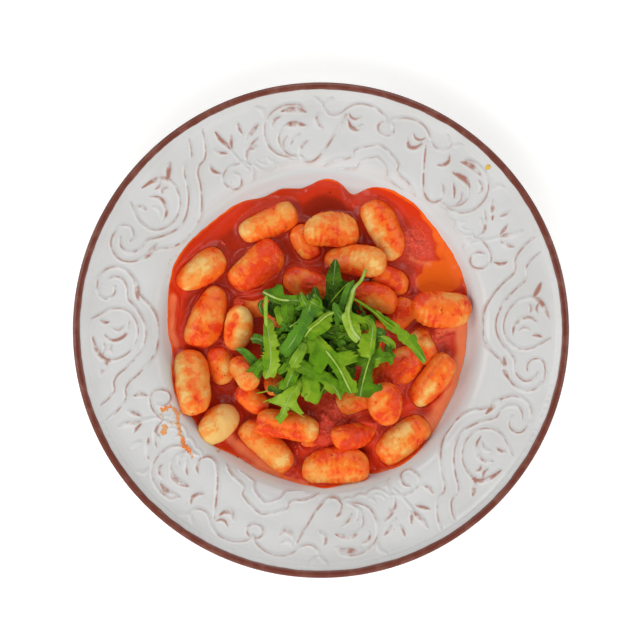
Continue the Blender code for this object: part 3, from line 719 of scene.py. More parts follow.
# Where each gnocco is bare or coated: x and y in mm, the coat there from 0, bare pale dough, through
# 0.5, orange, to 1, deep red, and its reach in mm where that isn't COAT_REACH_MM.
COAT_REACH_MM = 3.3
COAT = {
    "north_west": [(-42, 56, .1, 5), (-32, 62, .5, 5), (-27, 60, .3), (-19, 67, .15, 4), (-16, 65, .5),
                   (-21, 53, .6, 4), (-34, 52, .5, 5), (-29, 69, .75)],
    "west_high": [(-68, 35, .1, 7), (-64, 44, .55), (-78, 34, .55), (-61, 46, .7), (-54, 41, .3),
                  (-62, 26, .7), (-73, 25, .2)],
    "west_upright": [(-68, 20, .65, 4), (-62, 24, .2), (-58, 18, .5), (-64, 13, .8, 4), (-71, 9, .25, 4),
                     (-60, 8, .3, 4), (-68, -4, .8, 5), (-73, -2, .25), (-58, 0, .85), (-72, 16, .5)],
    "creased": [(-41, 9, 0, 5), (-51, 6, .2), (-47, 7, .8, 2), (-49, 3, .85, 2), (-51, -2, .85, 2),
                (-44, -4, .1, 4), (-40, 0, .35), (-48, -8, .4)],
    "west_big": [(-45, 37, .3, 4), (-48, 31, .5), (-40, 42, .5, 4), (-32, 46, .85, 4), (-35, 36, .9, 4),
                 (-28, 44, .9, 5), (-29, 33, .9, 5), (-45, 21, .75, 4), (-37, 26, .9, 4), (-43, 33, .65)],
    "sunk_west": [(-39, 19, .35, 4), (-32, 19, .8, 4), (-45, 18, .95, 4)],
    "north_crossing": [(-14, 53, .5), (-9, 44, .45, 4), (-3, 43, .85, 4), (-6, 48, .65)],
    "north_ridged": [(-6, 57, .15, 4), (-3, 60, .2), (1, 54, .5), (5, 58, .45), (8, 54, .7, 4), (8, 49, .85),
                     (14, 58, .2), (18, 57, .4), (13, 51, .5), (16, 63, .4), (4, 64, .35, 4)],
    # sunk_north lies under the rocket: its deep red coat is partly real sauce and partly painted shade from
    # the leaves.
    "sunk_north": [(-15, 35, .9, 4), (-10, 27, .6, 2), (-3, 33, .75, 4), (2, 29, .95, 4), (-7, 25, 1),
                   (-6, 37, 1)],
    "north_inner": [(4, 40, .5, 4), (12, 43, .4, 4), (10, 37, .5), (21, 39, .2, 5), (29, 34, .1, 4),
                    (28, 43, .35), (33, 39, .3), (12, 32, .75, 4), (19, 30, .85, 4), (20, 46, .6)],
    "north_east": [(25, 63, .1, 3), (25, 57, 0), (29, 50, 0), (34, 44, .1), (39, 41, .05, 3),
                   (29, 70, .4, 2), (32, 68, .7, 3), (35, 62, .7, 3), (39, 56, .7, 3), (42, 50, .7, 3),
                   (44, 46, .55, 2), (42, 41, .15, 2), (31, 60, .3, 2), (34, 53, .2, 2)],
    # east_small lies under the rocket as well: its deep red coat is partly real sauce and partly painted
    # shade.
    "east_small": [(34, 31, .7), (40, 34, .95), (41, 27, .85, 4), (46, 27, .45, 2), (37, 26, .75)],
    "east_inner": [(24, 23, 1, 4), (34, 21, .85, 4), (29, 15, .3), (38, 15, .55), (34, 12, .45),
                   (21, 18, .8, 4), (40, 19, .6)],
    "east_round": [(43, 9, .9, 5), (50, 7, .5, 3), (47, 3, .55, 3)],
    "east_edge": [(54, 18, .95, 4), (52, 13, .7), (61, 11, .6, 4), (66, 17, .5, 4), (72, 19, .2, 4),
                  (72, 12, .55, 4), (75, 9, .7, 4), (80, 15, .7), (78, 5, .25), (56, 8, .5), (65, 4, .65, 4),
                  (62, 21, .7)],
    "east_stub": [(57, -3, .5), (59, -8, 0), (52, -3, .2), (62, -4, .3), (62, -12, .65), (57, -12, .85)],
    "pulp_covered": [(43, -13, .3), (41, -9, .4), (40, -22, 1, 5), (44, -19, .95, 5), (51, -18, .7, 4),
                     (53, -12, .85), (36, -28, 1, 4)],
    "east_long": [(61, -31, .25, 3), (58, -34, 0), (54, -41, 0), (69, -17, .5, 4), (62, -23, .6, 4),
                  (71, -23, .55, 3), (55, -31, .65), (51, -37, .65), (66, -31, .7, 3), (62, -39, .7, 3),
                  (72, -29, .6, 3)],
    "south_east_inner": [(34, -36, .4), (31, -42, .4), (38, -34, .7, 3), (39, -43, .8, 4), (32, -48, .8),
                         (29, -39, .5), (41, -37, .9)],
    "centre_south": [(13, -41, .4), (21, -41, .8, 2.5), (16, -46, .5), (26, -39, .5), (19, -36, .4, 4)],
    "south_red": [(8, -57, .45), (13, -53, .85, 4), (19, -60, .9, 4), (24, -58, .85, 4), (26, -54, .65),
                  (14, -64, .95), (30, -52, .7)],
    "south_edge": [(-3, -77, .2, 4), (2, -78, .25), (-7, -72, .4), (1, -68, .75, 4), (9, -67, .7, 4),
                   (15, -74, .55, 4), (21, -74, .6), (25, -70, .5), (8, -76, .6), (9, -81, .5),
                   (-2, -83, .25), (16, -80, .35)],
    "south_east_edge": [(45, -55, .05, 4), (41, -59, .1, 4), (37, -64, .2, 4), (36, -67, .5),
                        (40, -70, .45), (49, -67, .2), (42, -67, .3), (54, -62, .75, 4), (59, -55, .4),
                        (55, -50, .5), (32, -61, .6), (45, -64, .3)],
    "west_coated": [(-58, -13, .8, 4), (-54, -20, .15), (-52, -28, .3), (-49, -14, .35), (-56, -7, .8, 4),
                    (-58, -21, .6)],
    "west_inner": [(-46, -23, .2), (-43, -30, .35), (-44, -17, .7), (-38, -29, .35), (-37, -22, .6)],
    "west_tall": [(-79, -20, -.05), (-76, -28, .1), (-74, -37, .1), (-77, -15, .25), (-72, -14, .6, 4),
                  (-68, -19, .3, 4), (-64, -29, .25, 4), (-70, -31, .55), (-67, -39, .75), (-67, -45, .4, 4),
                  (-62, -37, .25), (-68, -11, .45, 4), (-72, -44, .3)],
    "pale_round": [(-51, -45, -.2, 5), (-54, -50, -.1, 4), (-61, -55, .15, 4), (-59, -61, -.1, 4),
                   (-47, -48, -.2, 4), (-64, -52, .15), (-52, -56, -.15, 4)],
    "south_dark": [(-43, -35, .8, 4), (-38, -41, .5, 4), (-46, -39, .65), (-34, -43, .8)],
    "south_inner": [(-31, -30, .5, 4), (-23, -32, .3), (-28, -35, .45), (-22, -26, .6)],
    "south_west_low": [(-41, -55, .3), (-36, -62, .4, 4), (-32, -65, .3, 4), (-26, -65, .4),
                       (-22, -71, .1, 4), (-30, -70, .25), (-37, -56, .4), (-20, -64, .4)],
    "south_crossing": [(-31, -47, .5, 3), (-32, -51, .8, 3), (-30, -55, .85), (-25, -57, .85),
                       (-20, -59, .8), (-14, -57, .8, 3), (-18, -47, .6, 4), (-6, -52, .25),
                       (-10, -48, .45), (-22, -52, .6, 3), (-12, -53, .6, 3), (-4, -57, .2, 3)],
    "south_hidden": [(-8, -62, .5), (-2, -61, .8)],
}
COAT_LEFT = 0.52           # the coat between those places
DOUGH_PALE = (0.87, 0.53, 0.165, 1)
DOUGH_STAINED = (0.89, 0.33, 0.060, 1)
COAT_ORANGE = (0.93, 0.165, 0.015, 1)
COAT_RED = (0.83, 0.060, 0.009, 1)


def smoothed(solid):
    """A rounded copy of an outline solid's mesh, as vertices and a mesh, stretched to its size."""
    bm = merged(solid)
    bmesh.ops.join_triangles(bm, faces=bm.faces[:], angle_face_threshold=0.5, angle_shape_threshold=1.2)
    corners = np.array([v.co for v in bm.verts])
    mesh = bpy.data.meshes.new("rounded")
    bm.to_mesh(mesh)
    bm.free()
    holder = in_scene("rounded", mesh)
    smoother = holder.modifiers.new("smoother", "SUBSURF")
    smoother.levels = smoother.render_levels = SMOOTHING
    seen = holder.evaluated_get(bpy.context.evaluated_depsgraph_get())
    rounded = bpy.data.meshes.new_from_object(seen)
    bpy.data.objects.remove(holder)
    bpy.data.meshes.remove(mesh)
    middle = corners.mean(0)
    long_way = np.linalg.svd(corners - middle)[2][0]
    across = np.cross((0, 0, 1), long_way)
    across /= np.linalg.norm(across)
    axes = np.stack([long_way, across, np.cross(long_way, across)])
    before, after = (corners - middle) @ axes.T, (coordinates(rounded) - middle) @ axes.T
    low, high = before.min(0), before.max(0)
    after = (after - after.min(0)) / np.ptp(after, axis=0) * (high - low) + low
    return rounded, after, axes, middle


dough_objects = []
for number, (name, solid) in enumerate(sorted(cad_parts.items())):
    if not name.startswith("gnocco_"):
        continue
    short = name.removeprefix("gnocco_")
    rounded, local, axes, middle = smoothed(solid)
    half = np.ptp(local, axis=0) / 2
    out = local / half
    out /= np.linalg.norm(out, axis=1)[:, None]
    share = local[:, 0] / half[0]
    narrow_way, narrower = NARROWS.get(short, (0, 0.0))
    toward = Vector((math.cos(math.radians(narrow_way)), math.sin(math.radians(narrow_way)), 0))
    narrower *= math.copysign(1, Vector(axes[0]).dot(toward))
    inside = np.minimum(np.abs(share), 0.97)
    blunt = ROUNDER.get(short, BLUNT)
    fuller = (1 - inside ** blunt) ** (1 / blunt) / (1 - inside ** SOLIDS_BLUNT) ** (1 / SOLIDS_BLUNT)
    by_hand = 1.0 if short in ROUNDER else 0.55 + 0.45 * math.sin(number * 2.4)
    fuller = 1 + (np.minimum(fuller, FULLEST) - 1) * by_hand
    local[:, 1:] *= (fuller * (1 - ENDS_IN * share ** 2 - 0.7 * narrower * share))[:, None]
    shift_x, shift_y, longer, wider = moved(name)
    local[:, :2] *= (longer, wider)
    lumps = sum(high * rough(local, fine, number + more) for high, fine, more in LUMPS)
    tall = RIDGES.get(short, RIDGES_FAINT)
    along = local[:, 0] * 1000 + 0.9 * rough(local, 130, number + 9)
    wave = np.cos(math.tau * along / RIDGE_STEP_MM) * eased(1 - np.abs(local[:, 0]) / half[0], 0.04, 0.30)
    wave *= np.clip(0.45 + 1.5 * rough(local, 110, number + 12), 0, 1)
    lumps += tall * wave
    local = local + out * (lumps * MM)[:, None]
    co = local @ axes + middle + np.array((shift_x, shift_y, 0)) * MM
    for dent, reach, points in CREASES.get(short, []):
        line = smooth_through(points, 6)
        away = np.linalg.norm(co[:, None, :2] * 1000 - line, axis=2).min(1)
        co[:, 2] -= dent * MM * np.exp(-(away / reach) ** 2) * (co[:, 2] > middle[2])
    rounded.vertices.foreach_set("co", co.astype(np.float32).ravel())
    rounded.shade_smooth()
    rounded.name = "dough_" + short
    dough = in_scene("dough_" + short, rounded)

    share, total = np.full(len(co), 0.12), np.full(len(co), 0.12 * COAT_LEFT)
    for at_x, at_y, coat, *reach in COAT.get(short, []):
        spread = reach[0] if reach else COAT_REACH_MM
        spot = np.exp(-((co[:, 0] * 1000 - at_x) ** 2 + (co[:, 1] * 1000 - at_y) ** 2) / (0.8 * spread) ** 2)
        share, total = share + spot, total + spot * coat
    coat = total / share
    normal = (out / half) @ axes
    up = normal[:, 2] / np.linalg.norm(normal, axis=1)
    low_side = 1 - eased(co[:, 2] * 1000 - SAUCE_LEVEL_MM, 0.8, 5.5)
    coat = np.maximum(coat, 0.95 * low_side)
    coat = coat + (0.70 - coat) * (1 - eased(up, 0.0, 0.34)) * (coat < 0.70)
    coat += 0.12 * rough(co, 260, number + 120) - COAT_IN_GROOVES * (0.1 + 3 * tall) * wave
    give(rounded, "coat", np.clip(coat, -0.3, 1))
    grit = 2.6 * np.abs(rough(co, 420, number + 160)) ** 1.3
    grit += 0.6 * np.abs(rough(co, 850, number + 200)) ** 1.3
    grit *= PULPY.get(short, 0.0) * eased(coat, 0.60, 0.90)
    co[:, 2] += grit * MM * eased(up, 0.1, 0.6)
    rounded.vertices.foreach_set("co", co.astype(np.float32).ravel())
    give(rounded, "pulp", np.clip(grit * 0.9, 0, 0.7))
    dough_objects.append(dough)
    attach(dough, "root")
    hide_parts(name)

potato, tree, shader = new_material("potato_dough_in_sauce")
place = object_place(tree)
blotch = clouds(tree, place, 250, 3.0, 0.7, 0.58)
speckle = clouds(tree, place, 1300, 2.0, 0.3)
coat = maths(tree, "MULTIPLY_ADD", blotch, 1.0, read(tree, "coat"))
coat = maths(tree, "MULTIPLY_ADD", speckle, 0.12, coat)
coat = maths(tree, "SUBTRACT", coat, 0.575)
pulp = read(tree, "pulp")
wet = tomato_film(tree, place, 0.50, pulp)
colour = blended(tree, ramp_between(tree, coat, 0.06, 0.26), DOUGH_PALE, DOUGH_STAINED)
colour = blended(tree, ramp_between(tree, coat, 0.30, 0.50), colour, COAT_ORANGE)
colour = blended(tree, ramp_between(tree, coat, 0.56, 0.76), colour, COAT_RED)
colour = blended(tree, ramp_between(tree, coat, 0.82, 1.0), colour, wet["Colour"])
dimples = maths(tree, "MULTIPLY_ADD", wet["Height"], 1.6, clouds(tree, place, 900, 3.0))
plug(tree, shader.inputs, {
    "Base Color": colour, "Roughness": maths(tree, "MULTIPLY_ADD", coat, -0.20, 0.42),
    "Specular IOR Level": 0.30, "Normal": bumpy(tree, dimples, 0.35, 0.0005),
})
for dough in dough_objects:
    dough.data.materials.clear()
    dough.data.materials.append(potato)


# ====================================================== the pulp, the specks and the splashes
# Soft lumps of tomato pulp lie in the sauce, with flakes of dried herb and pepper on it and on the
# gnocchi. A few drops and thin smears of the sauce's oil have landed on the wall and the rim.

# Where the pulp lies: x, y and reach in mm, and how many lumps.
PULP_LUMPS = [
    (9, -43, 4.5, 16), (9, -50, 5.0, 20), (5, -57, 4.0, 12), (41, -29, 5.0, 14), (44, -22, 5.0, 12),
    (19, -58, 4.5, 14), (53, 47, 4.0, 20), (51, 54, 3.0, 8), (-54, 49, 1.8, 3),
    (-41, 46, 1.4, 3), (-37, 25, 2.5, 4), (67, 1, 3.5, 10), (70, -6, 3.0, 7), (-52, -8, 2.5, 4),
    (45, 8, 3.5, 8), (-31, 36, 4.0, 9), (-13, -66, 3.0, 5),
]
# Flakes of herb and pepper: x, y and length in mm.
SPECKS = [
    (5, 77, 1.1), (51, 62, 1.0), (-19, 57, 1.1), (-10, 53, 0.9), (-7, 26, 1.0), (66, 10.5, 1.3),
    (77, 8, 1.0), (67, -15, 0.8), (48, -36, 0.9), (30, -40, 0.9), (12, -42, 0.7), (65, -30, 0.8),
    (-70, -46, 0.9), (-57, -21, 0.7), (-53, -25, 0.8), (-46, -70, 1.1), (-32, -35, 0.8), (6, -69, 0.9),
    (-26, 67, 0.8), (-46, 38, 0.7), (-13, 52, 0.6), (-45, 31, 0.6), (38, 62, 0.6), (-34, -58, 0.6),
    (22, 36, 0.5), (56, -60, 0.7), (-3, -76, 0.6), (-66, 6, 0.6), (-40, -26, 0.6), (43, -60, 0.6),
]
# Drops on the plate: x, y and radius in mm, and how pale and oily they are. At 2 one is plain oil.
DROPS = [
    (91.5, 88.5, 1.9, 2.0), (-79.5, 40.5, 0.5, 0.8), (-82.5, 38, 0.5, 0.9), (-83.5, 36, 0.4, 0.9),
    (-84, 29.5, 0.5, 0.9), (-83, 28.5, 0.4, 0.9),
]
# Smears on the plate: half width in mm, how pale, and where they run, in mm.
SMEARS = [
    (0.80, 0.25, [(-87, -43.5), (-85.5, -44), (-83, -42)]),
    (0.75, 0.55, [(-80.5, -43), (-78.5, -47.5), (-77.5, -53.5), (-76, -59.5)]),
    (0.60, 0.75, [(-78, -46), (-76.5, -45.5), (-75, -47)]),
    (0.85, 0.60, [(-86, -52.5), (-84.5, -54), (-86.5, -56.5), (-84, -57)]),
    (0.90, 0.05, [(-75, -60.5), (-74, -64), (-71.5, -66.5)]), (0.35, 0.40, [(-71.5, -67), (-69.5, -70)]),
    (0.50, 0.60, [(-57, -67), (-55.5, -66.5)]), (0.35, 0.80, [(-82.5, -50.5), (-80.5, -52)]),
    (0.30, 0.80, [(-87.5, -46.5), (-86, -48.5)]),
]
SMEAR_STEP_MM = 0.5
LUMP_SIDES = 8
SPECK_DARK = (0.030, 0.016, 0.006, 1)
SMEAR_ORANGE = (0.86, 0.22, 0.030, 1)
SMEAR_PALE = (0.74, 0.45, 0.22, 1)
OIL_YELLOW = (0.72, 0.47, 0.06, 1)

top_bm = bmesh.new()
for obj in [plate, sauce] + dough_objects:
    top_bm.from_mesh(obj.data)
dough_from = len(plate.data.polygons) + len(sauce.data.polygons)
food_top = BVHTree.FromBMesh(top_bm)
top_bm.free()


def met_at(x, y):
    """Where a line straight down at x, y, in mm, meets the food or plate, and the normal and the
    number of the face there."""
    return food_top.ray_cast(Vector((x, y, 60)) * MM, Vector((0, 0, -1)))[:3]


def lump(whole, x, y, sizes, seed, sunk, oily=0.0):
    """Adds a small uneven lump at x, y, in mm. sizes are its half length, width and height in mm,
    and sunk the share of that height below what it lies on."""
    spot, normal, _ = met_at(x, y)
    turn = normal.to_track_quat("Z", "Y").to_matrix().to_4x4() @ Matrix.Rotation(seed * 1.7, 4, "Z")
    bm = bmesh.new()
    layer = bm.verts.layers.float.new("oily")
    bmesh.ops.create_uvsphere(bm, u_segments=LUMP_SIDES, v_segments=6, radius=1.0)
    for vert in bm.verts:
        vert.co *= 1 + 0.28 * noise.noise(vert.co * 1.3 + Vector((seed * 3.1, 0, 0)))
        vert[layer] = oily
    scale = Matrix.Diagonal((*[size * MM for size in sizes], 1))
    rise = Matrix.Translation(spot + normal * (1 - 2 * sunk) * sizes[2] * MM)
    bmesh.ops.transform(bm, matrix=rise @ turn @ scale, verts=bm.verts[:])
    pour(bm, whole)


chance = random.Random(23)
pulp_bm, specks_bm, drops_bm = bmesh.new(), bmesh.new(), bmesh.new()
for at_x, at_y, reach, count in PULP_LUMPS:
    for k in range(count):
        way, far = chance.uniform(0, math.tau), reach * math.sqrt(chance.random()) * 1.1
        size = chance.uniform(0.35, 0.80)
        sizes = (size * chance.uniform(1.0, 1.9), size, size * 0.62)
        x, y = at_x + far * math.cos(way), at_y + far * math.sin(way)
        if met_at(x, y)[2] < dough_from:
            lump(pulp_bm, x, y, sizes, chance.uniform(0, 90), 0.66)
for at_x, at_y, length in SPECKS:
    sizes = (length * 0.5, length * chance.uniform(0.2, 0.4), 0.10)
    lump(specks_bm, at_x, at_y, sizes, chance.uniform(0, 90), 0.2)
for at_x, at_y, radius, pale in DROPS:
    lump(drops_bm, at_x, at_y, (radius, radius * 0.7, radius * 0.28), at_x, 0.35, pale)
for half_width, pale, points in SMEARS:
    steps = [math.ceil(math.dist(*pair) / SMEAR_STEP_MM) for pair in zip(points, points[1:])]
    for at_x, at_y in smooth_through(points, steps):
        for _ in range(2):
            size = half_width * chance.uniform(0.30, 1.10)
            spot = at_x + chance.gauss(0, 0.45), at_y + chance.gauss(0, 0.45)
            tone = min(max(pale + chance.uniform(-0.3, 0.3), 0), 1)
            lump(drops_bm, *spot, (size * 1.5, size, 0.10), chance.uniform(0, 90), 0.5, tone)
pulp, specks, drops = (mesh_from(bm, name) for bm, name in (
    (pulp_bm, "tomato_pulp"), (specks_bm, "herb_specks"), (drops_bm, "sauce_drops")))

soft, tree, shader = new_material("tomato_pulp_wet")
place = object_place(tree)
wet = tomato_film(tree, place, 0.34, 1.0)
plug(tree, shader.inputs, {
    "Base Color": wet["Colour"], "Roughness": 0.14, "Specular IOR Level": 0.6,
})
dark, tree, shader = new_material("herb_flakes")
plug(tree, shader.inputs, {"Base Color": SPECK_DARK, "Roughness": 0.5})
oil, tree, shader = new_material("oily_drops")
place = object_place(tree)
tint = blended(tree, read(tree, "oily"), SMEAR_ORANGE, SMEAR_PALE)
tint = blended(tree, ramp_between(tree, read(tree, "oily"), 1.2, 1.8), tint, OIL_YELLOW)
plug(tree, shader.inputs, {"Base Color": tint, "Roughness": 0.12})
for piece, material in ((pulp, soft), (specks, dark), (drops, oil)):
    piece.data.materials.append(material)
    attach(piece, "root")
    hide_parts("sauce")


# ==================================================================== the rocket
# A loose handful of raw rocket on top. Each leaf is a thin lobed blade with a pale rib. The named ones
# lie on top, and darker ones and small torn leaflets fill the heap under them. The dark core blades are
# painted shade for the inside of the heap, and the fill is darker partly as painted shade.

LEAF_ROWS, LEAF_COLUMNS = 56, 14
FILL_ROWS, FILL_COLUMNS = 26, 8
LEAF_THICK = 0.00030
RIPPLE_MM = 1.50           # how much a blade's edge waves up and down
CRINKLE_MM = 0.50          # and its whole surface
TOOTH_PITCH_MM = 4.3       # between the teeth along its edge, which lean to the tip
TOOTH_SHARE = 0.46
# The forms that a blade's side can have: share of the length and share of the widest.
FORMS = {
    "slab": [(0, 0.35), (0.5, 1), (1, 0.5)],
    "spear": [(0, 0.9), (0.4, 1), (0.75, 0.8), (0.92, 0.45), (1, 0.1)],
    "tongue": [(0, 0.4), (0.3, 0.9), (0.6, 1), (0.9, 0.5), (1, 0.15)],
    "two lobes": [(0, 0.3), (0.25, 0.95), (0.45, 0.6), (0.62, 1), (0.8, 0.5), (1, 0.15)],
    "early lobe": [(0, 0.3), (0.25, 0.85), (0.4, 1), (0.58, 0.5), (0.75, 0.4), (1, 0.1)],
    "late lobe": [(0, 0.25), (0.3, 0.5), (0.5, 0.6), (0.66, 1), (0.78, 0.5), (1, 0.15)],
}
